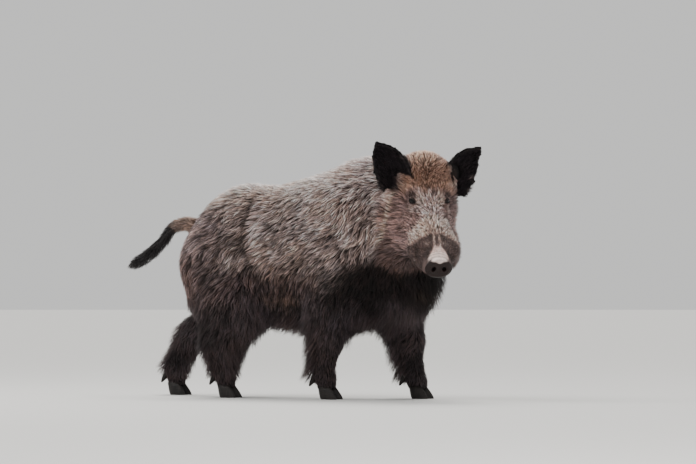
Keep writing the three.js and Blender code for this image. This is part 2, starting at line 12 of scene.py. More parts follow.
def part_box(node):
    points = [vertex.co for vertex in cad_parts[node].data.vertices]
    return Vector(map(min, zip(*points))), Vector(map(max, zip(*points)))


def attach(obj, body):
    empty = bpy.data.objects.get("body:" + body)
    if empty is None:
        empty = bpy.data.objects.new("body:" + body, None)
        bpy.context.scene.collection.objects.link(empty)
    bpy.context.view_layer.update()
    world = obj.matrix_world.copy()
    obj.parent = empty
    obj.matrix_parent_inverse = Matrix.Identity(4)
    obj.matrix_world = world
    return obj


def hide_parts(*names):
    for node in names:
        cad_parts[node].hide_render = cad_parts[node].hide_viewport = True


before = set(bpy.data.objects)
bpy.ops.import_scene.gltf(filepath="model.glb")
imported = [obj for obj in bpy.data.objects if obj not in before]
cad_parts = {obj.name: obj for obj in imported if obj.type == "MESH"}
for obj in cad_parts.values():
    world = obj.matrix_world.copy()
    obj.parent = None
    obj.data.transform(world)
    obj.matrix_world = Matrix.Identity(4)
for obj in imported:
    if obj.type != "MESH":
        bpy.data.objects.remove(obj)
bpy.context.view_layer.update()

rng = np.random.default_rng(7)
MM = 0.001

# ---- the animal's own frames
# Body frame: millimetres, +X forwards, +Y left, floor at z = 0. Head frame: x along the snout.
HEAD_ORIGIN = np.array([440.0, -20.0, 628.0])
HEAD_TURN, HEAD_DROP = math.radians(-50), math.radians(33)
EYE_AT, EYE_RADIUS = (118.0, 51.0, 92.0), 13.0
DISC_DROP = 9.0  # the disc's middle below the snout's axis
TRACK = {"front": 108.0, "hind": 102.0}
TOES = {"front_left": 411.0, "front_right": 191.0, "hind_left": -527.0, "hind_right": -199.0}
HOOF = {"length": 66.0, "width": 29.0, "height": 42.0, "cleft": 5.0, "toe": 0.6, "heel": 0.3, "splay": 0.1}


def about_z(angle):
    c, s = math.cos(angle), math.sin(angle)
    return np.array([[c, -s, 0], [s, c, 0], [0, 0, 1]])


def about_y(angle):
    c, s = math.cos(angle), math.sin(angle)
    return np.array([[c, 0, s], [0, 1, 0], [-s, 0, c]])


HEAD_AXES = about_z(HEAD_TURN) @ about_y(HEAD_DROP)


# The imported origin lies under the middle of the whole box; an eye's middle tells where that is.
def middle_of(node):
    low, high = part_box(node)
    return (np.array(low) + np.array(high)) / 2


SHIFT = middle_of("eye_left") - (np.array(EYE_AT) @ HEAD_AXES.T + HEAD_ORIGIN) * MM


def to_body(p):
    return (p - SHIFT) / MM


def from_body(b):
    return np.asarray(b, float) * MM + SHIFT


def to_head(b):
    return (b - HEAD_ORIGIN) @ HEAD_AXES


def from_head(h):
    return np.asarray(h, float) @ HEAD_AXES.T + HEAD_ORIGIN


def eye_centre(side):
    return np.array(EYE_AT) * (1, side, 1)


def from_eye(h):
    """How far (mm) each place in the head's frame is from the nearer eye's middle."""
    return np.minimum(*(np.linalg.norm(h - eye_centre(side), axis=1) for side in (1, -1)))


def in_scene(name, data):
    obj = bpy.data.objects.new(name, data)
    bpy.context.scene.collection.objects.link(obj)
    return obj


# ---- camera, light, floor
AZIMUTH, DISTANCE, EYE_LEVEL, PITCH = math.radians(30), 12.0, 0.35, math.radians(0.95)
FOCAL_PX, IMAGE_W, SENSOR = 3624.0, 696.0, 36.0
ASIDE = 0.136  # how far right of the body's middle the camera aims

sight = np.array([-math.sin(AZIMUTH), math.cos(AZIMUTH), 0.0])
right = np.array([math.cos(AZIMUTH), math.sin(AZIMUTH), 0.0])
camera_data = bpy.data.cameras.new("camera")
camera_data.sensor_width = SENSOR
camera_data.lens = FOCAL_PX / IMAGE_W * SENSOR
camera_data.clip_end = 200
camera = in_scene("camera", camera_data)
spot = SHIFT - sight * DISTANCE + right * ASIDE
camera.location = (spot[0], spot[1], EYE_LEVEL)
camera.rotation_euler = (math.pi / 2 + PITCH, 0, AZIMUTH)
bpy.context.scene.camera = camera


def add_light(name, kind, strength, colour, way):
    data = bpy.data.lights.new(name, kind)
    data.energy = strength
    data.color = colour
    lamp = in_scene(name, data)
    lamp.rotation_euler = Vector(way).to_track_quat("-Z", "Y").to_euler()
    return lamp


def soft_light(name, place, aim, size, watts, colour):
    lamp = add_light(name, "AREA", watts, colour, Vector(aim) - Vector(place))
    lamp.data.shape = "DISK"
    lamp.data.size = size
    lamp.location = place


soft_light("key", (-1.6, -1.2, 3.4), (0, 0, 0.45), 2.2, 84, (1.0, 0.98, 0.95))
soft_light("front", (3.4, -4.2, 1.8), (0.1, 0, 0.45), 2.8, 46, (1.0, 0.97, 0.95))
sky = add_light("sky", "SUN", 3.2, (1.0, 0.97, 0.93), (0.25, -0.45, -1.0))
sky.data.angle = math.radians(35)

world = bpy.data.worlds.new("studio")
world.use_nodes = True
backdrop = world.node_tree.nodes["Background"]
backdrop.inputs["Color"].default_value = (0.8, 0.8, 0.79, 1)
backdrop.inputs["Strength"].default_value = 0.95
bpy.context.scene.world = world


# ---- small helpers
def linear(rgb):
    """sRGB bytes to linear light."""
    c = np.asarray(rgb, float) / 255
    return np.where(c <= 0.04045, c / 12.92, ((c + 0.055) / 1.055) ** 2.4)


def ramp(v, low, high):
    """0 below low, 1 above high, smooth between."""
    t = np.clip((v - low) / (high - low), 0, 1)
    return t * t * (3 - 2 * t)


def fall(v, low, high):
    """1 below low, 0 above high, smooth between."""
    return ramp(-v, -high, -low)


def band(v, *edges):
    """0 outside the first and the last edge, 1 between the middle two, smooth between."""
    return ramp(v, *edges[:2]) * fall(v, *edges[2:])


def bump(v, middle, reach):
    return np.exp(-(((v - middle) / reach) ** 2))


def mix(a, b, t):
    """A blend; colours and vectors take one share for each row."""
    t = np.asarray(t)
    if t.ndim == 1 and (np.shape(a)[-1:] == (3,) or np.shape(b)[-1:] == (3,)):
        t = t[:, None]
    return a * (1 - t) + b * t


def unit(v):
    return v / np.maximum(np.linalg.norm(v, axis=-1, keepdims=True), 1e-12)


def hashed(cells, seed):
    """Repeatable value in 0..1 for integer lattice points."""
    k = cells.astype(np.int64)
    h = (k[..., 0] * 73856093) ^ (k[..., 1] * 19349663) ^ (k[..., 2] * 83492791) ^ (seed * 2654435761)
    h = (h ^ (h >> 13)) * 1274126177
    h = (h ^ (h >> 16)) & 0xFFFFFF
    return h / 0xFFFFFF


def noise(b, size, seed=0):
    """Smooth noise in -1..1 with features of the given size (mm)."""
    q = b / size
    base = np.floor(q)
    f = q - base
    f = f * f * (3 - 2 * f)
    total = np.zeros(len(b))
    for corner in np.ndindex(2, 2, 2):
        share = np.where(corner, f, 1 - f).prod(1)
        total += share * hashed(base + corner, seed)
    return total * 2 - 1


# ---- the skin
EARS = ["ear_left", "ear_right"]
TAIL_NODES = ["tail_dock", "tail_tassel"]
LEGS = [f"leg_{n}_{half}" for n in TOES for half in ("upper", "lower")]
FLESH = ["trunk", "neck", "head", "lower_jaw", "snout_disc", *TAIL_NODES, *EARS, *LEGS]
VOXEL = 6.9 * MM
SWELL = 1.2 * MM  # closes the thin cuts between the solids
REACH = 2.5 * MM  # how near to a node's surface the skin counts as that node's


def welded(node):
    """A CAD solid with its corners joined and its faces turned outwards."""
    bm = bmesh.new()
    bm.from_mesh(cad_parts[node].data)
    bmesh.ops.remove_doubles(bm, verts=bm.verts, dist=1e-6)
    bmesh.ops.recalc_face_normals(bm, faces=bm.faces)
    return bm


def arrays_of(bm):
    """The points and faces of a bmesh, which is freed."""
    bm.verts.index_update()
    points = np.array([v.co[:] for v in bm.verts])
    faces = [[v.index for v in f.verts] for f in bm.faces]
    bm.free()
    return points, faces


def swollen(node):
    bm = welded(node)
    bm.normal_update()
    for v in bm.verts:
        v.co += v.normal * SWELL
    bmesh.ops.triangulate(bm, faces=bm.faces)
    return arrays_of(bm)


def new_object(name, points, faces):
    mesh = bpy.data.meshes.new(name)
    mesh.from_pydata(points, [], faces)
    mesh.update()
    return in_scene(name, mesh)


def read(items, what, width, kind=np.float32):
    """One attribute of all items of a mesh, a row for each."""
    values = np.empty(len(items) * width, kind)
    items.foreach_get(what, values)
    return values.reshape(-1, width)


def coordinates(mesh):
    return read(mesh.vertices, "co", 3).astype(float)


def normals_of(mesh):
    return read(mesh.vertices, "normal", 3).astype(float)


def edges_of(mesh):
    return read(mesh.edges, "vertices", 2, np.int32)


def put(mesh, points):
    mesh.vertices.foreach_set("co", points.astype(np.float32).ravel())
    mesh.update()


def relax(points, edges, share, rounds, keep_size=False):
    """Laplacian smoothing; share is how far each point moves towards its neighbours' middle."""
    a, b = edges[:, 0], edges[:, 1]
    n = len(points)
    count = np.maximum(np.bincount(a, minlength=n) + np.bincount(b, minlength=n), 1)
    for turn in range(rounds * (2 if keep_size else 1)):
        middle = np.empty_like(points)
        for k in range(points.shape[1]):
            middle[:, k] = np.bincount(a, points[b, k], n) + np.bincount(b, points[a, k], n)
        middle /= count[:, None]
        way = -1.04 if keep_size and turn % 2 else 1.0  # every second turn swells what the first shrank
        points = points + (middle - points) * (share * way)[:, None]
    return points


def drop_crumbs(mesh):
    """Deletes all but the largest connected body, as a remesh can leave crumbs at thin rims."""
    a, b = edges_of(mesh).T
    label, before = np.arange(len(mesh.vertices)), None
    while before is None or (label != before).any():
        before = label.copy()
        np.minimum.at(label, a, label[b])
        np.minimum.at(label, b, label[a])
        label = label[label]
    stray = label != np.bincount(label).argmax()
    bm = bmesh.new()
    bm.from_mesh(mesh)
    bmesh.ops.delete(bm, geom=[v for v in bm.verts if stray[v.index]], context="VERTS")
    bm.to_mesh(mesh)
    bm.free()


def build_skin():
    points, faces, start = [], [], 0
    for node in FLESH:
        p, f = swollen(node)
        points.append(p)
        faces.append(np.array(f) + start)
        start += len(p)
    skin = new_object("skin", np.concatenate(points), np.concatenate(faces))
    remesh = skin.modifiers.new("remesh", "REMESH")
    remesh.mode = "VOXEL"
    remesh.voxel_size = VOXEL
    solid = bpy.data.meshes.new_from_object(skin.evaluated_get(bpy.context.evaluated_depsgraph_get()))
    skin.modifiers.clear()
    skin.data = solid
    drop_crumbs(solid)
    return skin


skin = build_skin()


# ---- where things lie on the body
def close_to(nodes, points):
    """1 where a point lies within REACH of the surface of any of the CAD nodes, else 0."""
    near = np.zeros(len(points))
    for node in nodes:
        p, f = swollen(node)
        tree = BVHTree.FromPolygons(p.tolist(), f)
        low, high = p.min(0) - 0.01, p.max(0) + 0.01
        for i in np.flatnonzero(((points > low) & (points < high)).all(1)):
            if tree.find_nearest(Vector(points[i]), REACH)[0] is not None:
                near[i] = 1.0
    return near


EAR_ROOTS = {"ear_left": (22.0, 78.0, 92.0), "ear_right": (31.0, -82.0, 102.0)}
EAR_TIPS = {"ear_left": (-12.0, 176.0, 202.0), "ear_right": (-5.0, -176.0, 240.0)}
EAR_FACING = {"ear_left": (0.95, 0.2, 0.0), "ear_right": (0.9, -0.38, 0.05)}
# how far out (mm) the brow's fur reaches below and above two heights, on each side
FLEECE = {"ear_left": (112.0, 72.0, 110.0, 215.0), "ear_right": (90.0, 41.0, 126.0, 166.0)}
TAIL = np.array([(-420, 0, 566), (-470, 0, 582), (-524, -4, 570), (-560, -8, 524),
                 (-606, -10, 486), (-664, -8, 454), (-706, -4, 434)], float)


def ear_axis(name):
    """An ear's root and the way it points."""
    root = np.array(EAR_ROOTS[name])
    return root, unit(EAR_TIPS[name] - root)


class Places:
    """Named coordinates and soft region weights of many points at once (body frame, mm)."""

    def __init__(self, points, normals, ear, tail):
        self.n = normals
        b = self.b = to_body(points)
        h = self.h = to_head(b)
        x, y, z = self.x, self.y, self.z = b.T
        hx, hy, hz = self.hx, self.hy, self.hz = h.T
        side = abs(hy)
        fleece = np.zeros(len(ear))  # the brow's fur grows over the front of the ears' roots
        cup = np.zeros(len(ear))  # the head's own surface inside an ear is dark as the ear
        for name in EARS:
            root, way = ear_axis(name)
            up_ear = (h - root) @ way
            near = np.sign(hy) == np.sign(root[1])
            low, high, from_z, to_z = FLEECE[name]
            edge = mix(low, high, ramp(hz, from_z, to_z)) + 5 * noise(b, 16, 17)
            furred = fall(up_ear, 46, 64) * ramp(edge - side, -5, 5)
            fleece = np.maximum(fleece, furred * near)
            off_axis = np.linalg.norm(h - root - up_ear[:, None] * way, axis=1)
            inside = ramp(up_ear, -4, 14) * fall(off_axis, 52, 66) * (hx < 60)
            cup = np.maximum(cup, inside * ramp(side - edge, -5, 5) * near)
        ear = np.maximum(ear * (1 - fleece), cup)
        self.ear, self.tail = ear, tail
        front = np.where((hy > 0)[:, None], EAR_FACING["ear_left"], EAR_FACING["ear_right"])
        self.faced = (normals @ HEAD_AXES * front).sum(1)  # 1 on an ear's open side, -1 on its back
        boxed = (side < 152) & (hz > -185) & (hz < 240)
        self.head = ramp(hx, -35, 45) * ramp(hz, -170, -110) * boxed * (1 - ear)
        self.disc = ramp(hx, 345, 351) * boxed
        crown = bump(hx, -8, 52) * ramp(hz, 112, 150) * fall(side, 50, 92)
        self.crown = crown * (1 - ear)
        forehead = band(hx, 20, 60, 100, 128) * ramp(hz, 60, 100)
        self.forehead = forehead * (1 - ear)
        self.jaw = fall(hz, -80, -20) * ramp(hx, -20, 60) * boxed
        body = (1 - self.head) * (1 - ear) * (1 - tail)
        self.leg = fall(z, 255, 330) * body
        self.shank = fall(z, 165, 235) * body
        self.back = ramp(z, 600, 690) * body
        self.mane = self.back * ramp(x, -40, 180) * fall(abs(y + 10), 30, 85)
        self.rump = fall(x, -380, -260) * ramp(z, 300, 380) * body
        self.belly = fall(z, 285, 360) * fall(abs(y), 60, 130) * body * (z > 225)
        self.chest = ramp(x, 270, 360) * fall(z, 470, 560) * body * (z > 250)
        self.body = body


def by_fold(p, ahead, reach):
    """1 at a distance (mm) ahead of the flank's fold, which arcs down before the thigh."""
    t = p.z - 517
    weight = band(p.z, 330, 400, 610, 690) * p.body
    return bump(p.x - (-160 - 0.188 * t + 0.0021 * t * t), ahead, reach) * weight


def by_crease(p, ahead, reach):
    """1 at a distance ahead of the crease between cheek and neck, where the head turns to."""
    weight = fall(p.y, -90, -60) * band(p.z, 480, 520, 650, 690)
    return bump(p.x - (389 - 0.25 * (664 - p.z)), ahead, reach) * weight


KINDS = {  # length, width, spacing, rise of the tips, share in locks, freedom to hang, spread of shade
    "flank": (38, 2.0, 4.3, 18, 0.58, 0.06, 0.98),
    "back": (38, 2.0, 4.3, 20, 0.56, 0.12, 0.88),
    "mane": (54, 2.2, 4.5, 30, 0.58, 0.25, 0.88),
    "rump": (38, 2.0, 4.3, 14, 0.66, 0.06, 1.0),
    "belly": (84, 2.0, 3.9, 15, 0.74, 0.85, 0.55),
    "chest": (56, 2.3, 4.5, 26, 0.72, 0.4, 0.7),
    "breast": (84, 2.0, 3.8, 20, 0.76, 0.85, 0.5),
    "leg": (38, 2.0, 3.9, 13, 0.72, 0.16, 0.8),
    "shank": (24, 1.7, 3.4, 8, 0.6, 0.06, 0.45),
    "foot": (14, 1.4, 2.8, 4, 0.4, 0.0, 0.35),
    "fringe": (84, 1.9, 3.1, 12, 0.78, 0.95, 0.6),
    "hock": (64, 1.9, 3.2, 10, 0.76, 0.85, 0.5),
    "cheek": (30, 1.5, 2.9, 12, 0.64, 0.2, 0.8),
    "jowl": (48, 1.7, 3.1, 18, 0.7, 0.62, 0.72),
    "forehead": (13, 1.05, 2.05, 9, 0.58, 0.22, 0.74),
    "crown": (17, 1.15, 2.15, 14, 0.5, 0.45, 0.62),
    "bridge": (12, 0.95, 1.95, 4, 0.58, 0.03, 0.98),
    "saddle": (14, 1.05, 1.95, 6.5, 0.66, 0.2, 1.05),
    "muzzle": (9, 0.9, 2.0, 2.4, 0.45, 0.0, 0.6),
    "near_disc": (5, 0.7, 1.9, 0.8, 0.0, 0.0, 0.35),
    "eye": (6, 0.7, 1.6, 1.8, 0.1, 0.0, 0.35),
    "ear": (13, 1.0, 2.5, 2.2, 0.35, 0.05, 0.6),
    "ear_inside": (28, 1.1, 2.9, 7, 0.5, 0.3, 0.8),
    "ear_rim": (22, 0.9, 1.9, 3, 0.45, 0.6, 0.6),
    "dock": (32, 1.9, 2.8, 7, 0.5, 0.4, 0.5),
    "tassel": (44, 1.9, 2.5, 8, 0.58, 0.45, 0.55),
    "tail_tip": (24, 1.8, 2.4, 6, 0.45, 0.4, 0.55),
}


def coat_plan(p):
    plan = np.tile(np.array(KINDS["flank"], float), (len(p.x), 1))

    def lay(kind, weight):
        nonlocal plan
        plan = mix(plan, np.array(KINDS[kind], float)[None], np.clip(weight, 0, 1)[:, None])

    lay("back", p.back)
    lay("mane", p.mane)
    lay("rump", p.rump * 0.9)
    lay("chest", p.chest)
    lay("leg", p.leg)
    lay("belly", p.belly * fall(p.n[:, 2], -0.5, -0.15))
    lay("shank", p.shank)
    facing_back, facing_front = fall(p.n[:, 0], -0.75, -0.3), ramp(p.n[:, 0], 0.3, 0.75)
    lay("foot", fall(p.z, 55, 95))
    low = band(p.z, 60, 125, 340, 400) * p.body
    lay("fringe", low * facing_back * (p.x > 40))
    lay("hock", low * facing_back * (p.x < -180))
    lay("hock", low * facing_front * fall(p.x, -120, -60))
    breast = ramp(p.x, 330, 390) * band(p.z, 240, 290, 480, 540)
    lay("breast", facing_front * breast * p.body)
    lay("cheek", p.head)
    lay("jowl", p.head * p.jaw * fall(p.hx, 90, 190))
    outward = ramp(abs(p.n @ HEAD_AXES[:, 1]), 0.72, 0.95)
    lay("jowl", 0.8 * p.head * outward * fall(p.hz, 50, 96) * fall(p.hx, 120, 200))
    lay("bridge", p.head * ramp(p.hx, 90, 170) * ramp(p.hz - 0.2 * abs(p.hy), -30, 10))
    lay("saddle", p.head * band(p.hx, 150, 180, 235, 265) * ramp(p.hz, 0, 26))
    lay("forehead", p.head * ramp(p.hz, 84, 112) * fall(p.hx, 96, 126))
    lay("crown", p.crown)
    lay("muzzle", p.head * np.maximum(ramp(p.hx, 250, 280), ramp(p.hx, 205, 250) * fall(p.hz, -10, 20)))
    lay("near_disc", p.head * ramp(p.hx, 312, 340))
    lay("eye", fall(from_eye(p.h), 20, 34))
    lay("ear", p.ear)
    lay("ear_inside", p.ear * ramp(p.faced, 0.3, 0.7))
    lay("ear_rim", p.ear * fall(abs(p.faced), 0.2, 0.5))
    lay("dock", p.tail)
    lay("tassel", p.tail * fall(p.x, -560, -500))
    lay("tail_tip", p.tail * fall(p.x, -690, -640))
    return plan


def spread(weight, edges, rounds):
    return relax(weight[:, None], edges, np.full(len(weight), 0.6), rounds)[:, 0]


def shape_skin(skin):
    mesh = skin.data
    points, edges = coordinates(mesh), edges_of(mesh)
    first = Places(points, normals_of(mesh), close_to(EARS, points), close_to(TAIL_NODES, points))
    ear, tail = spread(first.ear, edges, 2), spread(first.tail, edges, 3)
    p = Places(points, first.n, ear, tail)
    firm = np.maximum(np.maximum(p.ear, p.tail), p.head)
    points = relax(points, edges, 0.5 - 0.25 * ear, 5, keep_size=True)
    points = relax(points, edges, 0.5 * (1 - firm) * (1 - p.shank * 0.7), 18)
    put(mesh, points)
    inward = normals_of(mesh)
    p = Places(points, inward, ear, tail)
    inward = inward.copy()
    inward[:, 2] *= mix(1.0, 0.0, fall(p.z, 50, 75))
    furrow = 8 * by_fold(p, 0, 14) * ramp(abs(p.y), 60, 110) + 7 * by_crease(p, 12, 12) * p.body
    depth = spread(coat_plan(p)[:, 3] + furrow, edges, 4)
    points = points - inward * depth[:, None] * MM
    points[:, 2] -= 9 * MM * fall(p.z, 46, 54)  # the shank runs down into the hooves
    points = relax(points, edges, 0.5 * (1 - 0.85 * firm), 4)
    put(mesh, points)
    return ear, tail


ear_weight, tail_weight = shape_skin(skin)


def store(mesh, name, values):
    layer = mesh.attributes.new(name, "FLOAT", "POINT")
    layer.data.foreach_set("value", np.asarray(values, np.float32))


def stored(mesh, name):
    return read(mesh.attributes[name].data, "value", 1)[:, 0].astype(float)


def places_of(mesh):
    return Places(coordinates(mesh), normals_of(mesh), stored(mesh, "ear"), stored(mesh, "tail"))


store(skin.data, "ear", ear_weight)
store(skin.data, "tail", tail_weight)


def refine(skin, chosen):
    """Splits the faces whose points are all chosen."""
    bm = bmesh.new()
    bm.from_mesh(skin.data)
    bm.verts.ensure_lookup_table()
    edges = [e for e in bm.edges if chosen[e.verts[0].index] and chosen[e.verts[1].index]]
    bmesh.ops.subdivide_edges(bm, edges=edges, cuts=1, use_grid_fill=True, smooth=0.0)
    bmesh.ops.triangulate(bm, faces=[f for f in bm.faces if len(f.verts) > 4])
    bm.to_mesh(skin.data)
    bm.free()


def head_points(mesh):
    return to_head(to_body(coordinates(mesh)))


def refine_head(skin):
    h = head_points(skin.data)
    on_head = (h[:, 0] > 84) & (abs(h[:, 1]) < 135) & (h[:, 2] > -150) & (h[:, 2] < 205)
    refine(skin, on_head | (stored(skin.data, "ear") > 0.3))
    h = head_points(skin.data)
    refine(skin, (from_eye(h) < 30) | (h[:, 0] > 326))
    h = head_points(skin.data)
    front = (h[:, 0] > 352) & (abs(h[:, 1]) < 30) & (abs(h[:, 2] + DISC_DROP) < 16)
    refine(skin, (from_eye(h) < 21) | front)


refine_head(skin)

# ---- sculpting the head
GAZE = unit(np.array([0.4, 0.8, 0.44]))
SLIT = np.array([1.0, 0.0, 0.6])  # the way the eye's opening runs
LID = {"radius": EYE_RADIUS + 1.6, "half_wide": 10.5, "half_tall": 3.8, "back": 1.5, "low": 0.6, "foot": 5.0}
NOSTRIL = {"out": 17.0, "up": 2.0 - DISC_DROP, "half_wide": 6.2, "half_tall": 8.4, "deep": 13.0}
LIP = {"corner": 196.0, "drop": -36.0, "slope": 0.05}
DISC_FRONT = 367.0


def eye_axes(side):
    """Unit vectors out along the gaze, along the eye's opening and up across it."""
    g = GAZE * (1, side, 1)
    along = unit(SLIT - g * g.dot(SLIT))
    up = np.cross(g, along)
    return g, along, up * np.sign(up[2])


def seen_from_eye(h, side):
    """How far along the opening, up across it and out along the gaze places lie (mm)."""
    g, along, up = eye_axes(side)
    rel = h - eye_centre(side)
    return rel @ along, rel @ up, rel @ g


def lid_measure(p, side):
    """0 in the middle of an eye's opening, 1 at the outer edge of its bare lids."""
    a, u, out = seen_from_eye(p.h, side)
    return np.hypot((a + LID["back"]) / 13.5, (u + LID["low"]) / 6.6) + 3 * (out < 0)


def sculpt_eye(h, side):
    """Lids over one eyeball: the skin round it moves along the gaze only."""
    a, u, out = seen_from_eye(h, side)
    off_axis = np.hypot(a, u)
    chosen = (off_axis < 30) & (abs(out) < 26)
    slit = abs(a + LID["back"])
    bow = 1 - np.clip(slit / LID["half_wide"], 0, 1) ** 2
    opening = abs(u + LID["low"]) - LID["half_tall"] * bow  # < 0 inside the opening
    opening = np.where(slit > LID["half_wide"], abs(u) + slit - LID["half_wide"], opening)
    dome = np.sqrt(np.maximum(LID["radius"] ** 2 - off_axis**2, LID["foot"] ** 2))
    lid = dome + 1.0 * bump(opening, 1.4, 1.3) - 0.6 * bump(opening, 4.6, 1.5)
    lid += 0.9 * bump(opening, 7.0, 1.8) * (u > 0) + 0.6 * bump(opening, 6.2, 1.6) * (u < 0)
    ball = np.sqrt(np.maximum(EYE_RADIUS**2 - off_axis**2, 0))
    lid = mix(ball - 2.5, lid, ramp(opening, -0.7, 0.5))
    lid += 4.0 * bump(u, 13.0, 4.0) * bump(a, 0, 14)  # brow over the eye
    share = 1 - ramp(off_axis, 13.0, 27.0)
    h = h.copy()
    h[chosen] += ((lid - out) * share)[chosen, None] * GAZE * (1, side, 1)
    return h


def wrinkles_at(x, y):
    """-1..1 over the ridges across the top of the snout, behind the disc."""
    return np.sin((x + 0.0016 * y**2) / 8.5 * 2 * math.pi)


def sculpt_nose(h):
    x, y, z = h.T.copy()
    # the face of the disc: flat, with a rolled rim and a shallow dish between the nostrils
    high = z + DISC_DROP
    across = np.hypot(y / 43.0, high / 33.0)
    dish = bump(np.hypot(y / 10, (high + 2) / 20), 0, 0.8)
    x += ramp(x, 356, 364) * fall(across, 0.72, 0.98) * (1.6 * bump(across, 0.8, 0.13) - 1.4 * dish)
    swell = (2.4 * bump(x, 361, 6) - 1.7 * bump(x, 347, 5)) * ramp(across, 0.7, 0.95)
    y *= 1 + swell / 40
    z = high * (1 + swell / 34) - DISC_DROP
    for side in (1, -1):
        dy, dz = y - NOSTRIL["out"] * side, z - NOSTRIL["up"]
        c, s = math.cos(0.35 * side), math.sin(0.35 * side)
        r = np.hypot((dy * c + dz * s) / NOSTRIL["half_wide"], (dz * c - dy * s) / NOSTRIL["half_tall"])
        x = mix(x, DISC_FRONT - NOSTRIL["deep"], ramp(x, 340, 352) * fall(r, 0.82, 1.12))
        x += 1.0 * bump(r, 1.32, 0.2) * ramp(x, 356, 364)
    z += 1.5 * wrinkles_at(x, y) * band(x, 292, 318, 340, 349) * ramp(z, -12, 12)
    return np.stack([x, y, z], 1)


def sculpt_mouth(h):
    x, y, z = h.T.copy()
    line = LIP["drop"] - LIP["slope"] * (x - LIP["corner"]) + 9 * bump(x, 255, 34) - 5 * bump(x, 196, 22)
    along = ramp(x, LIP["corner"] - 14, LIP["corner"] + 12) * fall(x, 338, 352)
    off = z - line
    side = np.sign(y) * ramp(abs(y), 8, 20)
    y += side * along * (1.8 * bump(off, 7, 5) - 3.6 * bump(off, 0, 2.2))
    z += along * 1.5 * bump(off, -4, 5)
    return np.stack([x, y, z], 1)


def sculpt_head(skin):
    mesh = skin.data
    h = head_points(mesh)
    ears = stored(mesh, "ear") > 0.3
    shaped = sculpt_mouth(sculpt_nose(h))
    for side in (1, -1):
        shaped = sculpt_eye(shaped, side)
    on_head = (h[:, 0] > 40) & (abs(h[:, 1]) < 140) & (h[:, 2] > -150) & (h[:, 2] < 190) & ~ears
    h[on_head] = shaped[on_head]
    put(mesh, from_body(from_head(h)))


sculpt_head(skin)

# ---- the coat's pattern, with painted light and shade laid in, shared by skin and coat
SRGB = {
    # back and low: partly the coat's own colour, and partly painted light from above, with the top paler and
    # the lower flank darker
    "back": ((54, 43, 40), (250, 226, 216)),
    "flank": ((30, 23, 22), (186, 163, 156)),
    "low": ((16, 12, 12), (104, 86, 84)),
    "thigh": ((20, 15, 15), (132, 110, 107)),
    "rump": ((30, 24, 24), (172, 150, 148)),
    "leg": ((8, 6, 7), (86, 73, 75)),
    "chest": ((5, 3, 4), (36, 25, 25)),
    "neck": ((36, 28, 27), (244, 214, 207)),
    "brow": ((36, 23, 18), (196, 152, 132)),
    # crown: a painted highlight, the paler tone of the crown's lit top
    "crown": ((72, 52, 43), (222, 184, 162)),
    "face": ((34, 26, 24), (172, 139, 133)),
    "bridge": ((42, 30, 30), (255, 218, 211)),
    "saddle": ((56, 39, 35), (255, 219, 205)),
    "muzzle": ((28, 22, 21), (114, 93, 89)),
    # around_eye: painted shade of the brow, and partly the dark skin round the eye
    "around_eye": ((20, 14, 13), (72, 56, 52)),
    "pale": ((120, 102, 95), (226, 200, 190)),
    "crease": ((170, 134, 116), (255, 226, 206)),
    # nose_top: pale pink, partly the skin's own colour and partly a painted highlight
    "nose_top": ((246, 200, 188), (255, 234, 226)),
    "disc": ((12, 5, 4), (29, 12, 10)),
    "ear": ((4, 4, 6), (40, 31, 36)),
    "ear_back": ((14, 12, 12), (66, 58, 56)),
    "dock": ((56, 44, 40), (150, 126, 114)),
    "tassel": ((8, 7, 8), (42, 38, 40)),
    "belly": ((34, 25, 21), (104, 84, 74)),
}
TONE = {name: (linear(low), linear(high)) for name, (low, high) in SRGB.items()}


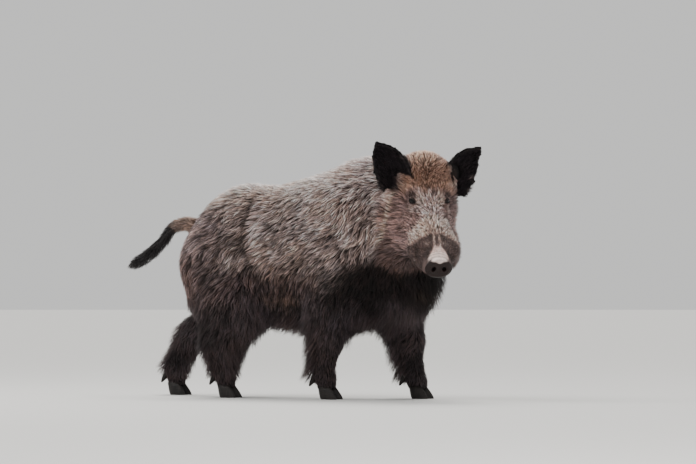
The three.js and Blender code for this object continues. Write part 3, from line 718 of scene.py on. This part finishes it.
def markings_and_painted_light(p):
    """Root and tip colour of the coat at each place, in linear light: its pattern, with painted shade and
    painted highlights laid in.
    """
    tones = [np.tile(TONE["flank"][k], (len(p.x), 1)) for k in (0, 1)]

    def lay(name, weight):
        for k in (0, 1):
            tones[k] = mix(tones[k], TONE[name][k], np.clip(weight, 0, 1))

    def darken(weight, by):
        for k in (0, 1):
            tones[k] = tones[k] * (1 - by * np.clip(weight, 0, 1))[:, None]

    patch = noise(p.b, 90, 3)
    small = noise(p.b, 34, 4)
    # The pale back and the dark lower flank are partly the coat's own colour and partly painted light: the
    # top is painted paler and the lower flank darker, as the light falls from above.
    lay("back", ramp(p.z + 40 * patch, 560, 700))
    lay("neck", 0.85 * ramp(p.x, 30, 260) * ramp(p.z, 430, 560))
    lay("rump", fall(p.x, -300, -200) * ramp(p.z + 30 * patch, 400, 470) * fall(p.z, 560, 660))
    lay("low", fall(p.z + 50 * patch, 350, 440))
    lay("thigh", fall(p.x, -290, -190) * fall(p.z + 40 * patch, 400, 490))
    lay("belly", fall(p.z, 315, 345) * band(p.x, -150, -90, 30, 110))
    ahead = ramp(p.x + 30 * patch - 0.5 * (p.z - 400), 150, 300)
    lay("chest", ahead * fall(p.z + 34 * patch, 420, 482))
    lay("leg", fall(p.z + 40 * patch, 270, 345))
    rusty = ramp(p.x, 300, 350) * band(p.z, 300, 350, 440, 500)
    lay("belly", 0.6 * ramp(small, 0.1, 0.7) * rusty)
    # Painted shade: the coat in the flank's fold is darkened.
    darken(by_fold(p, -6, 18), 0.8)
    lay("neck", 0.9 * by_fold(p, 34, 18) * ramp(p.z, 400, 480))
    darken(ramp(patch + 0.6 * small, 0.15, 0.8) * p.body, 0.5)
    # head
    side = abs(p.hy)
    face = p.head
    lay("face", face)
    lay("neck", 0.7 * face * fall(p.hx, -10, 30))
    between = fall(side + 12 * small, 26, 54) * ramp(p.z + 12 * small, 585, 610)
    lay("bridge", face * between * ramp(p.hx, 66, 100))
    tatter = 12 * small + 8 * noise(p.b, 15, 16)
    brow = ramp(p.z - 0.08 * side + tatter, 656, 686) * fall(p.hx, 108, 132)
    lay("brow", face * brow)
    browline = bump(p.z - 0.1 * side, 690, 7) * ramp(side, 58, 76) * fall(p.hx, 105, 125)
    lay("saddle", 0.5 * face * browline)
    lay("brow", p.crown)
    # Painted highlight: the crown's top is laid in a paler tone, as if lit from above.
    lay("crown", p.crown * ramp(p.hz, 168, 200))
    ragged = 9 * small + 5 * noise(p.b, 14, 6)
    arch = (side / 60) ** 2
    saddle = fall(p.z + ragged, 596 - 42 * arch, 606 - 42 * arch)
    saddle = saddle * ramp(p.z + ragged, 530 - 18 * arch, 542 - 18 * arch)
    lay("muzzle", face * ramp(p.hx, 190, 240) * fall(p.z + ragged, 525 - 18 * arch, 545 - 18 * arch))
    lay("saddle", face * saddle * ramp(p.hx, 135, 165) * ramp(p.hz, 0, 26))
    lay("muzzle", face * 0.8 * p.jaw * ramp(p.hx, 60, 130))
    streaks = ramp(noise(p.h * (0.45, 1, 0.8), 8, 18), 0.12, 0.55) * fall(side, 44, 72)
    darken(face * streaks * band(p.hx, 66, 100, 235, 262), 0.5)
    # Painted shade: the underside of the jaw is darkened.
    darken(face * p.jaw * fall(p.hz, -100, -60), 0.25)
    for eye_side in (1, -1):
        a, u, _ = seen_from_eye(p.h, eye_side)
        # Painted shadow: a dark band above each eye stands for the brow's shadow. The ring round the eye is
        # darker partly for its own dark skin and partly as painted shade under the brow.
        lay("around_eye", 0.55 * face * fall(np.hypot((a + 10) / 32, (u - 20) / 8), 0.6, 1.2))
        lay("around_eye", face * fall(np.hypot(a / 19, u / 9), 0.8, 1.2))
        medial = np.linalg.norm((p.h - (124, 36 * eye_side, 106)) / (24, 12, 24), axis=1)
        lay("pale", face * fall(medial, 0.8, 1.2))
        below = np.linalg.norm((p.h - (127, 60 * eye_side, 72)) / (18, 14, 12), axis=1)
        lay("pale", 0.6 * face * fall(below, 0.7, 1.2))
    whiskers = noise(p.h * (1, 1, 0.8), 16, 15)
    darken(face * ramp(p.hx, 225, 262) * ramp(whiskers, 0.1, 0.6), 0.45)
    lay("pale", 0.35 * face * ramp(p.hx, 225, 262) * fall(whiskers, -0.8, -0.35))
    stripes = bump(abs(p.hy - 1), 9, 3.2) * band(p.hx, 252, 272, 306, 322)
    lay("pale", 0.8 * face * stripes * ramp(p.hz, 10, 30))
    widening = mix(9.0, 34.0, ramp(p.hx, 292, 350)) + 4 * small
    # The top of the snout and the top of the disc take a pale pink tone: partly the skin's own colour, and
    # partly a painted highlight of the light from above.
    lay("nose_top", face * ramp(p.hx, 300, 316) * ramp(p.hz, 4, 20) * ramp(widening - side, -4, 5))
    # Painted shade: the troughs between the snout's wrinkles are darkened.
    darken(face * ramp(p.hx, 300, 320) * fall(wrinkles_at(p.hx, p.hy), -0.9, -0.2) * (side < 40), 0.4)
    lay("disc", p.disc)
    arch_top = 17 - 5 * bump(p.hy, 0, 8)
    lay("nose_top", 0.85 * p.disc * ramp(p.hz, arch_top, arch_top + 5))
    lay("crease", 1.2 * by_crease(p, -1, 6) * (1 - p.ear))
    # Painted shade: the coat in the crease between cheek and neck is darkened.
    darken(by_crease(p, 14, 9), 0.4)
    lay("ear", p.ear)
    lay("ear_back", p.ear * fall(p.faced, -0.6, -0.2))
    lay("dock", p.tail)
    lay("tassel", p.tail * fall(p.x + 0.4 * (p.z - 560), -540, -505))
    return tones


def set_colour(mesh, name, rgb):
    layer = mesh.color_attributes.new(name, "FLOAT_COLOR", "POINT")
    rgba = np.ones((len(rgb), 4), np.float32)
    rgba[:, :3] = rgb
    layer.data.foreach_set("color", rgba.ravel())


def colour_skin(skin):
    mesh = skin.data
    p = places_of(mesh)
    root, tip = markings_and_painted_light(p)
    bare = np.maximum(p.disc, ramp(p.hx, 322, 340) * p.head)
    short = ramp(p.hx, 150, 230) * p.head
    # Under the coat the skin is painted a fifth darker than the roots, as painted shade between the tufts.
    # On the short-haired snout it is paler, and bare skin takes the tip colour.
    colour = mix(root * 0.8, mix(root, tip, 0.3), short)
    colour = mix(colour, tip, bare)
    nostril = np.zeros(len(p.x))
    for side in (1, -1):
        r = np.hypot((p.hy - NOSTRIL["out"] * side) / 6.4, (p.hz - NOSTRIL["up"]) / 8.6)
        nostril = np.maximum(nostril, fall(r, 0.8, 1.1) * band(p.hx, 344, 350, 361, 366))
    # The nostrils' insides are painted near-black: painted shade in their hollows.
    colour = mix(colour, linear((14, 9, 9)), nostril)
    for side in (1, -1):
        colour = mix(colour, linear((17, 12, 12)), fall(lid_measure(p, side), 0.95, 1.2))
    set_colour(mesh, "marking_and_painted_light", colour)
    store(mesh, "bare", bare)


colour_skin(skin)


# ---- materials
class Look:
    """A material in the making: its nodes and what feeds its shader."""

    def __init__(self, name, roughness, specular=0.5):
        self.material = bpy.data.materials.new(name)
        self.material.use_nodes = True
        self.tree = self.material.node_tree
        self.shader = self.tree.nodes["Principled BSDF"]
        self.shader.inputs["Roughness"].default_value = roughness
        self.shader.inputs["Specular IOR Level"].default_value = specular

    def node(self, kind, **values):
        made = self.tree.nodes.new("ShaderNode" + kind)
        for key, value in values.items():
            made.inputs[key].default_value = value
        return made

    def link(self, output, made, socket):
        self.tree.links.new(output, made.inputs[socket])

    def attribute(self, name, output="Color"):
        made = self.node("Attribute")
        made.attribute_name = name
        return made.outputs[output]

    def texture(self, kind, output="Fac", squeeze=None, **values):
        """A texture over the object's own coordinates, which squeeze may scale first."""
        place = self.node("TexCoord").outputs["Object"]
        if squeeze:
            mapping = self.node("Mapping", Scale=squeeze)
            self.link(place, mapping, "Vector")
            place = mapping.outputs["Vector"]
        made = self.node(kind, **values)
        self.link(place, made, "Vector")
        return made.outputs[output]

    def ramp(self, factor, low, high, to=0.7):
        """Grey (or a colour) low below 0.3 and high above the given place."""
        made = self.node("ValToRGB")
        for element, place, tone in zip(made.color_ramp.elements, (0.3, to), (low, high)):
            element.position = place
            element.color = (*np.broadcast_to(tone, 3), 1)
        self.link(factor, made, "Fac")
        return made.outputs["Color"]

    def multiply(self, a, b):
        made = self.node("Mix")
        made.data_type = "RGBA"
        made.blend_type = "MULTIPLY"
        made.inputs["Factor"].default_value = 1.0
        self.link(a, made, "A")
        self.link(b, made, "B")
        return made.outputs["Result"]

    def relief(self, a, b, strength, distance):
        """Bump from the sum of two heights."""
        height = self.node("Math")
        height.operation = "ADD"
        self.link(a, height, 0)
        self.link(b, height, 1)
        bumped = self.node("Bump", Strength=strength, Distance=distance)
        self.link(height.outputs["Value"], bumped, "Height")
        self.link(bumped.outputs["Normal"], self.shader, "Normal")


def skin_material():
    look = Look("boar_skin", 0.85, 0.3)
    grain = look.texture("TexNoise", Scale=420.0, Detail=5.0, Roughness=0.65)
    mottle = look.texture("TexNoise", Scale=70.0, Detail=4.0)
    cells = look.texture("TexVoronoi", "Distance", Scale=620.0)
    speckled = look.multiply(look.attribute("marking_and_painted_light"), look.ramp(grain, 0.62, 1.2))
    look.link(look.multiply(speckled, look.ramp(mottle, 0.8, 1.12)), look.shader, "Base Color")
    rough = look.node("MapRange", **{"To Min": 0.85, "To Max": 0.5})
    look.link(look.attribute("bare", "Fac"), rough, "Value")
    look.link(rough.outputs["Result"], look.shader, "Roughness")
    look.relief(grain, cells, 0.55, 0.0012)
    return look.material


def coat_material():
    look = Look("boar_coat", 0.5, 0.35)
    flecks = look.ramp(look.texture("TexNoise", Scale=300.0, Detail=3.0), 0.82, 1.14)
    look.link(look.multiply(look.attribute("marking_and_painted_light"), flecks), look.shader, "Base Color")
    return look.material


def horn_material():
    look = Look("boar_horn", 0.55, 0.3)
    rings = look.texture("TexWave", Scale=55.0, Distortion=3.0, Detail=3.0)
    rings.node.bands_direction = "Z"
    streaks = look.texture("TexNoise", squeeze=(1.0, 1.0, 0.12), Scale=160.0, Detail=5.0)
    tone = look.ramp(streaks, linear((11, 9, 9)), linear((38, 32, 29)), 0.75)
    look.link(tone, look.shader, "Base Color")
    look.relief(rings, streaks, 0.5, 0.0008)
    return look.material


def eye_material():
    look = Look("boar_eye", 0.08, 0.32)
    fibres = look.ramp(look.texture("TexNoise", Scale=900.0, Detail=3.0), 0.7, 1.2)
    look.link(look.multiply(look.attribute("marking_and_painted_light"), fibres), look.shader, "Base Color")
    return look.material


MATERIAL = {
    "skin": skin_material(),
    "coat": coat_material(),
    "horn": horn_material(),
    "eye": eye_material(),
}


def dress(piece, material, slot, *nodes):
    """Gives a piece its material and its place in the model."""
    mesh = piece.data
    mesh.materials.clear()
    mesh.materials.append(MATERIAL[material])
    mesh.polygons.foreach_set("use_smooth", np.ones(len(mesh.polygons), bool))
    mesh.update()
    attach(piece, "root")
    if nodes:
        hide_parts(*nodes)


dress(skin, "skin", "coat", *FLESH)


# ---- eyes
def build_eye(side, name):
    g, along, up = eye_axes(side)
    bm = bmesh.new()
    bmesh.ops.create_uvsphere(bm, u_segments=64, v_segments=48, radius=1.0)
    ball, faces = arrays_of(bm)
    # Blender lists a sphere's faces in no fixed order
    faces = sorted(f[f.index(min(f)) :] + f[: f.index(min(f))] for f in faces)
    front = ball[:, 2]
    radius = EYE_RADIUS - 0.3 + 0.75 * ramp(front, 0.72, 0.98)  # the cornea stands proud
    way = ball[:, :1] * along + ball[:, 1:2] * up + front[:, None] * g
    h = eye_centre(side) + way * radius[:, None]
    eye = new_object(name, from_body(from_head(h)), faces)
    around = np.hypot(ball[:, 0] * 0.8, ball[:, 1] * 1.1)
    colour = mix(linear((4, 3, 3)), linear((30, 17, 11)), ramp(around, 0.36, 0.46))
    colour = mix(colour, linear((9, 6, 5)), ramp(around, 0.58, 0.68))
    colour = mix(colour, linear((26, 19, 17)), ramp(around, 0.76, 0.86))
    set_colour(eye.data, "marking_and_painted_light", colour)
    return eye


for side, node_name in ((1, "eye_left"), (-1, "eye_right")):
    dress(build_eye(side, node_name + "_ball"), "eye", "eye", node_name)


# ---- hooves and dewclaws
def ring_mesh(name, rings):
    """A closed body through rings of equally many points."""
    rings = np.asarray(rings)
    count, sides = rings.shape[:2]
    points = [*rings.reshape(-1, 3), rings[0].mean(0), rings[-1].mean(0)]
    low, high, top = count * sides, count * sides + 1, (count - 1) * sides
    faces = []
    for s in range(sides):
        t = (s + 1) % sides
        faces += [(t, s, low), (top + s, top + t, high)]
        faces += [(r + s, r + t, r + sides + t, r + sides + s) for r in range(0, top, sides)]
    return new_object(name, from_body(points), faces)


FORE = 0.62  # the share of a hoof's length ahead of its middle


def build_hoof(foot, which):
    end, leg_side = foot.split("_")
    side = 1 if leg_side == "left" else -1
    outward = side if which == "outer" else -side
    turns = np.linspace(0, 2 * math.pi, 36, endpoint=False)
    rings = []
    for share, grow in ((0, 0.9), (0.02, 0.95), (0.1, 0.985), (0.25, 1), (0.4, 1), (0.7, 0.95), (1, 0.9)):
        z = HOOF["height"] * share
        front = HOOF["length"] * FORE * grow - z * HOOF["toe"]
        back = HOOF["length"] * (FORE - 1) * grow - z * HOOF["heel"]
        c = (np.cos(turns) + 1) / 2
        x = back + (front - back) * c
        y = np.sin(turns) * HOOF["width"] / 2 * grow * (1 - 0.35 * c**2)
        rings.append(np.stack([x, y, np.full_like(x, z)], 1))
    y_at = TRACK[end] * side + (HOOF["width"] + HOOF["cleft"]) / 2 * outward
    origin = np.array([TOES[foot] - HOOF["length"] * FORE, y_at, 0])
    spin = about_z(HOOF["splay"] * outward)
    return ring_mesh(f"claw_{foot}_{which}", np.array(rings) @ spin.T + origin)


def build_dewclaw(node_name, obj_name):
    """The CAD claw, rounded by subdivision."""
    bm = welded(node_name)
    bmesh.ops.subdivide_edges(bm, edges=bm.edges, cuts=2, use_grid_fill=True)
    for _ in range(3):
        bmesh.ops.smooth_vert(bm, verts=bm.verts, factor=0.4,
                              use_axis_x=True, use_axis_y=True, use_axis_z=True)
    return new_object(obj_name, *arrays_of(bm))


for foot in TOES:
    for which in ("inner", "outer"):
        dress(build_hoof(foot, which), "horn", "horn", f"hoof_{foot}_{which}")
        claw = f"dewclaw_{foot}_{which}"
        dress(build_dewclaw(claw, f"spur_{foot}_{which}"), "horn", "horn", claw)

# ---- floor
bm = bmesh.new()
bmesh.ops.create_circle(bm, cap_ends=True, radius=60, segments=96)
floor = new_object("floor", *arrays_of(bm))
matt = Look("studio_floor", 0.9)
matt.shader.inputs["Base Color"].default_value = (0.57, 0.57, 0.56, 1)
floor.data.materials.append(matt.material)

# ---- the coat
# Tufts are flattened three-sided spindles that run over the skin along the lie of the coat,
# gathered into locks by guides.
STATIONS = np.array([0.0, 0.36, 0.7, 1.0])  # along each path
MOST_TRIANGLES = 190_000  # in one piece
COAT_TRIANGLES = 1_440_000  # in all
LOCK_SHADE = (-0.8, 0.92)  # from the darkest lock to the palest, as shares of the place's contrast
PATCH = 0.003  # a tuft's size on the map of its piece
GROUND_GAP = 6.0  # no hair comes nearer to the floor


def tuft_kind(at, girth, tone):
    """A tuft's rings along its path, its girth and colour there, and its faces."""
    faces = [(0, 2, 1)]  # the root's cap, then bands between the rings and the point
    last = 3 * (len(at) - 1)
    for ring in range(0, last, 3):
        for k in range(3):
            a, b = ring + k, ring + (k + 1) % 3
            faces += [(a, b, b + 3), (a, b + 3, a + 3)]
    faces += [(last + k, last + (k + 1) % 3, last + 3) for k in range(3)]
    return {"at": at, "girth": girth, "tone": tone, "faces": np.array(faces)}


LONG = tuft_kind((0.0, 0.36, 0.7), (0.75, 1.0, 0.62), (0.0, 0.42, 0.88, 1.1))
SHORT = tuft_kind((0.0, 0.45), (0.85, 1.0), (0.0, 0.6, 1.1))
TUFT_OF = {"trunk": LONG, "tail": LONG, "head": SHORT, "forelegs": SHORT, "hindlegs": SHORT, "ears": SHORT}


def lie_of_coat(p):
    """Unit direction in which the hair lies at each point of the skin (body frame)."""
    flank = ramp(abs(p.n[:, 1]), 0.25, 0.85)

    def way(x, y, z):
        return np.stack(np.broadcast_arrays(x * np.ones(len(p.x)), y, z), 1).astype(float)

    v = way(-1.0, 0.0, -0.4 - 0.75 * flank)
    v = mix(v, way(-0.7, 0.0, -1.0), ramp(p.x, 230, 330) * ramp(p.z, 380, 480) * flank)
    v = mix(v, way(-0.45, 0.0, -1.0), fall(p.x, -400, -250))
    v = mix(v, way(-0.32, 0.0, -1.0), fall(p.z, 330, 430) * ramp(abs(p.y), 40, 90))
    v = mix(v, way(-0.12, 0.0, -1.0), p.chest)
    side = np.sign(p.hy) * ramp(abs(p.hy), 0, 40)
    on_head = way(-1.0, 0.18 * side, -0.1)
    on_head = mix(on_head, way(-1.0, 0.35 * side, -0.75), fall(p.hz, -40, 40) * fall(p.hx, 140, 220))
    on_head = mix(on_head, way(-1.0, 0.25 * side, 0.5), p.forehead)
    on_head = mix(on_head, way(-0.9, 0.0, -0.9), p.jaw)
    v = mix(v, on_head @ HEAD_AXES.T, np.maximum(p.head, p.crown))
    for name in EARS:
        root, along = ear_axis(name)
        from_axis = (p.h - root) - ((p.h - root) @ along)[:, None] * along
        towards = unit(along + from_axis / 90)
        v = mix(v, towards @ HEAD_AXES.T, p.ear * (np.sign(p.hy) == np.sign(root[1])))
    along_tail = unit(np.diff(TAIL, axis=0))
    middles = (TAIL[1:] + TAIL[:-1]) / 2
    nearest = np.argmin(np.linalg.norm(p.b[:, None] - middles[None], axis=2), axis=1)
    v = mix(v, along_tail[nearest], ramp(p.tail, 0.3, 0.7))
    v = unit(v - p.n * (v * p.n).sum(1, keepdims=True))
    calm = 1 - np.maximum(p.ear, ramp(p.hx, 150, 250) * p.head)
    turn = 0.36 * noise(p.b, 120, 11) + 0.36 * noise(p.b, 42, 12) + 0.3 * noise(p.b, 19, 13)
    turn *= 0.4 + 0.6 * calm
    across = np.cross(p.n, v)
    return unit(v * np.cos(turn)[:, None] + across * np.sin(turn)[:, None])


class Cloud:
    """Points with normals, and the way to the nearest of them."""

    def __init__(self, points, normals):
        self.points, self.normals = points, normals
        self.tree = KDTree(len(points))
        for i, v in enumerate(points):
            self.tree.insert(v, i)
        self.tree.balance()

    def nearest(self, places, like):
        """The nearest point to each place that faces much as the normal given with it."""
        found = np.array([self.tree.find(q)[1] for q in places.tolist()], int)
        for i in np.flatnonzero((self.normals[found] * like).sum(1) < 0.1):
            for _, other, _ in self.tree.find_n(places[i], 24):
                if self.normals[other] @ like[i] > 0.3:
                    found[i] = other
                    break
        return found


class Skin(Cloud):
    """The finished skin's points with all that the coat needs to know there."""

    def __init__(self, mesh):
        super().__init__(coordinates(mesh), normals_of(mesh))
        self.p = places_of(mesh)
        self.plan = coat_plan(self.p)
        self.lie = lie_of_coat(self.p)
        self.root_tone, self.tip_tone = markings_and_painted_light(self.p)
        mesh.calc_loop_triangles()
        self.triangles = read(mesh.loop_triangles, "vertices", 3, np.int32)
        a, b, c = (self.points[self.triangles[:, k]] / MM for k in range(3))
        self.areas = np.linalg.norm(np.cross(b - a, c - a), axis=1) / 2

    def scatter(self, density):
        """Roots spread over the skin; density is in tufts per square mm at each point."""
        expected = self.areas * density[self.triangles].mean(1)
        upto = np.cumsum(expected)
        count = int(upto[-1])
        chosen = np.searchsorted(upto, (np.arange(count) + rng.random(count)) * upto[-1] / count)
        chosen = np.minimum(chosen, len(upto) - 1)
        u, v = rng.random((2, count))
        flip = u + v > 1
        u, v = np.where(flip, 1 - u, u), np.where(flip, 1 - v, v)
        shares = np.stack([1 - u - v, u, v], 1)
        corners = self.triangles[chosen]
        roots = (self.points[corners] * shares[..., None]).sum(1)
        return roots, corners[np.arange(count), shares.argmax(1)]

    def trail(self, roots, at, length, height, free):
        """Paths from the roots, over the skin and rising to the height asked for at the tip."""
        droop = np.array([0, 0, -0.4]) * (1 - self.p.ear[at, None])
        loose = unit(self.lie[at] * 0.55 + self.normals[at] * 0.75 + droop)
        q = roots
        path = [roots - self.normals[at] * MM]
        for before, s in zip(STATIONS, STATIONS[1:]):
            q = q + self.lie[at] * (length * (s - before) * MM)[:, None]
            at = self.nearest(q, self.normals[at])
            n = self.normals[at]
            q = q - n * ((q - self.points[at]) * n).sum(1, keepdims=True)
            rise = height * (1 - (1 - s) ** 1.7)
            held = q + n * (rise * MM)[:, None]
            path.append(mix(held, roots + loose * (length * s * MM)[:, None], free))
        return np.stack(path, 1)


def bare_share(p):
    """1 where no hair grows: nose, lids and the line of the mouth."""
    bare = ramp(p.hx, 344, 349) * p.head
    for side in (1, -1):
        bare = np.maximum(bare, fall(lid_measure(p, side), 0.95, 1.1))
    return np.maximum(bare, fall(p.z, 40, 44))


def region_of(p):
    region = np.full(len(p.x), "trunk", dtype="<U10")
    region[(p.z < 330) & (p.x > 0)] = "forelegs"
    region[(p.z < 340) & (p.x < -120)] = "hindlegs"
    region[(p.head > 0.5) | (p.crown > 0.5)] = "head"
    region[p.ear > 0.3] = "ears"
    region[p.tail > 0.3] = "tail"
    return region


def chart(p, region):
    """Where each root lies on an unrolled skin, 0..1 each way within its own piece."""
    if region == "head":
        round_it, along = np.arctan2(p.hy, p.hz), p.hx
    elif region == "ears":
        round_it, along = p.hy + 0.2 * p.hx + np.where(p.faced > 0, 500.0, 0.0), p.hz
    elif region == "tail":
        round_it, along = np.arctan2(p.y, p.z - 520 - 0.3 * p.x), p.x
    elif region in ("forelegs", "hindlegs"):
        side = np.where(p.y > 0, 1.0, -1.0)
        lean = p.x - side * 0.25 * (420 - p.z)
        round_it = np.arctan2(p.y - 105 * side, lean - np.median(lean)) + 3.5 * (side + 1)
        along = p.z
    else:
        round_it, along = np.arctan2(p.y, p.z - 500), p.x
    uv = np.stack([round_it, along], 1)
    low, high = uv.min(0), uv.max(0)
    return 0.01 + 0.97 * (uv - low) / np.maximum(high - low, 1e-6)


class Locks(Cloud):
    """Guides that gather the tufts round them and lend them their shade."""

    def __init__(self, s, there, spacing, length, rise, free, contrast):
        roots, at = s.scatter(there / (spacing * 1.8 + 1.6) ** 2)
        super().__init__(roots, s.normals[at])
        n = len(roots)
        long = length[at] * rng.uniform(0.82, 1.15, n)
        self.path = s.trail(roots, at, long, rise[at] * rng.uniform(0.7, 1.25, n), free[at])
        across = np.cross(s.normals[at], s.lie[at])[:, None]
        swing = rng.normal(size=(n, 4, 1)) * 0.16 * STATIONS[None, :, None]
        self.path += across * swing * (long * MM)[:, None, None]
        self.shade = 1 + contrast[at] * rng.uniform(*LOCK_SHADE, n)
        self.warmth = rng.uniform(-1, 1, n)


def rings_of(path, side, up, width, tuft):
    """Points of the tufts' three-sided rings and their tips."""
    points = []
    for at, girth in zip(tuft["at"], tuft["girth"]):
        k = min(np.searchsorted(STATIONS, at, side="right") - 1, len(STATIONS) - 2)
        share = (at - STATIONS[k]) / (STATIONS[k + 1] - STATIONS[k])
        centre = mix(path[:, k], path[:, k + 1], share)
        for corner in range(3):
            turn = math.pi / 2 + corner * 2 * math.pi / 3
            off = side[:, k] * math.cos(turn) + up[:, k] * (0.55 * math.sin(turn))
            points.append(centre + off * (width * girth / 2)[:, None])
    points.append(path[:, -1])
    return np.stack(points, 1)


def add_piece(label, region, points, colour, p, tuft):
    n = len(points)
    faces = (tuft["faces"] + points.shape[1] * np.arange(n)[:, None, None]).reshape(-1, 3)
    piece = new_object(label, points.reshape(-1, 3).tolist(), faces.tolist())
    set_colour(piece.data, "marking_and_painted_light", colour.reshape(-1, 3))
    across = np.append(np.tile([0, 0.5, 1], len(tuft["at"])), 0.5)
    along = np.append(np.repeat(tuft["at"], 3), 1.0)
    patch = PATCH * (np.stack([across, along], 1) - 0.5)
    uv = (chart(p, region)[:, None] + patch[None]).reshape(-1, 2)
    layer = piece.data.uv_layers.new(name="OFBake")
    layer.data.foreach_set("uv", uv[faces.ravel()].astype(np.float32).ravel())
    dress(piece, "coat", "coat")


def grow_coat(skin):
    s = Skin(skin.data)
    length, width, spacing, rise, gather, free, contrast = s.plan.T
    there = 1 - bare_share(s.p)
    locks = Locks(s, there, spacing, length, rise, free, contrast)
    # as many tufts as the triangles allow
    region = region_of(s.p)
    cost = np.array([len(TUFT_OF[r]["faces"]) for r in region])
    wanted = (s.areas * (there * cost / spacing**2)[s.triangles].mean(1)).sum()
    sparse = math.sqrt(wanted / COAT_TRIANGLES)
    roots, at = s.scatter(there / (spacing * sparse) ** 2)
    n = len(roots)
    lock = locks.nearest(roots, s.normals[at])
    long = length[at] * rng.uniform(0.7, 1.12, n)
    path = s.trail(roots, at, long, rise[at] * rng.uniform(0.4, 1.15, n), free[at])
    alike = ramp((locks.normals[lock] * s.normals[at]).sum(1), -0.1, 0.3)
    pull = gather[at] * rng.uniform(0.55, 1.1, n) * alike
    path += (locks.path[lock] - path) * np.clip(pull[:, None] * STATIONS**1.35, 0, 0.96)[..., None]
    crimp = rng.normal(size=(n, 4, 3)) * STATIONS[None, :, None]
    path += crimp * (0.035 * length[at] * MM)[:, None, None]
    path[..., 2] = np.maximum(path[..., 2], GROUND_GAP * MM)
    along = unit(np.gradient(path, axis=1))
    side = unit(np.cross(along, s.normals[at][:, None]))
    up = np.cross(side, along)
    width = width[at] * rng.uniform(0.7, 1.25, n) * max(1.0, sparse) ** 0.8 * MM
    shade = locks.shade[lock] * (1 + 0.9 * contrast[at] * rng.uniform(-1.0, 1.1, n))
    warm = 0.05 * locks.warmth[lock] + 0.03 * rng.normal(size=n) + 0.05 * noise(to_body(roots), 70, 14)
    tint = np.stack([1 + warm, np.ones(n), 1 - warm], 1) * np.maximum(shade, 0.04)[:, None]
    gloom = mix(0.35, 0.9, fall(rise[at], 2, 9))[:, None]  # roots lie in the others' shade
    region = region[at]
    p = Places(roots, s.normals[at], s.p.ear[at], s.p.tail[at])
    over = s.nearest(path[:, -1], s.normals[at])  # where the tips lie
    for name, tuft in TUFT_OF.items():
        members = np.flatnonzero(region == name)
        order = members[np.argsort(p.hx[members] if name == "head" else p.x[members], kind="stable")]
        parts = math.ceil(len(order) * len(tuft["faces"]) / MOST_TRIANGLES)
        for number, chosen in enumerate(np.array_split(order, parts)):
            points = rings_of(path[chosen], side[chosen], up[chosen], width[chosen], tuft)
            tones = []
            for t in tuft["tone"]:
                tone = mix(s.root_tone[at[chosen]], s.tip_tone[over[chosen]], t) * tint[chosen]
                tones.append(np.clip(tone, 0, 1) * mix(gloom[chosen], 1.0, min(1.0, t * 1.2)))
            colour = np.repeat(np.stack(tones, 1), [3] * len(tuft["at"]) + [1], axis=1)
            label = f"coat_{name}_{number + 1}" if parts > 1 else f"coat_{name}"
            place = Places(roots[chosen], p.n[chosen], p.ear[chosen], p.tail[chosen])
            add_piece(label, name, points, colour, place, tuft)


grow_coat(skin)
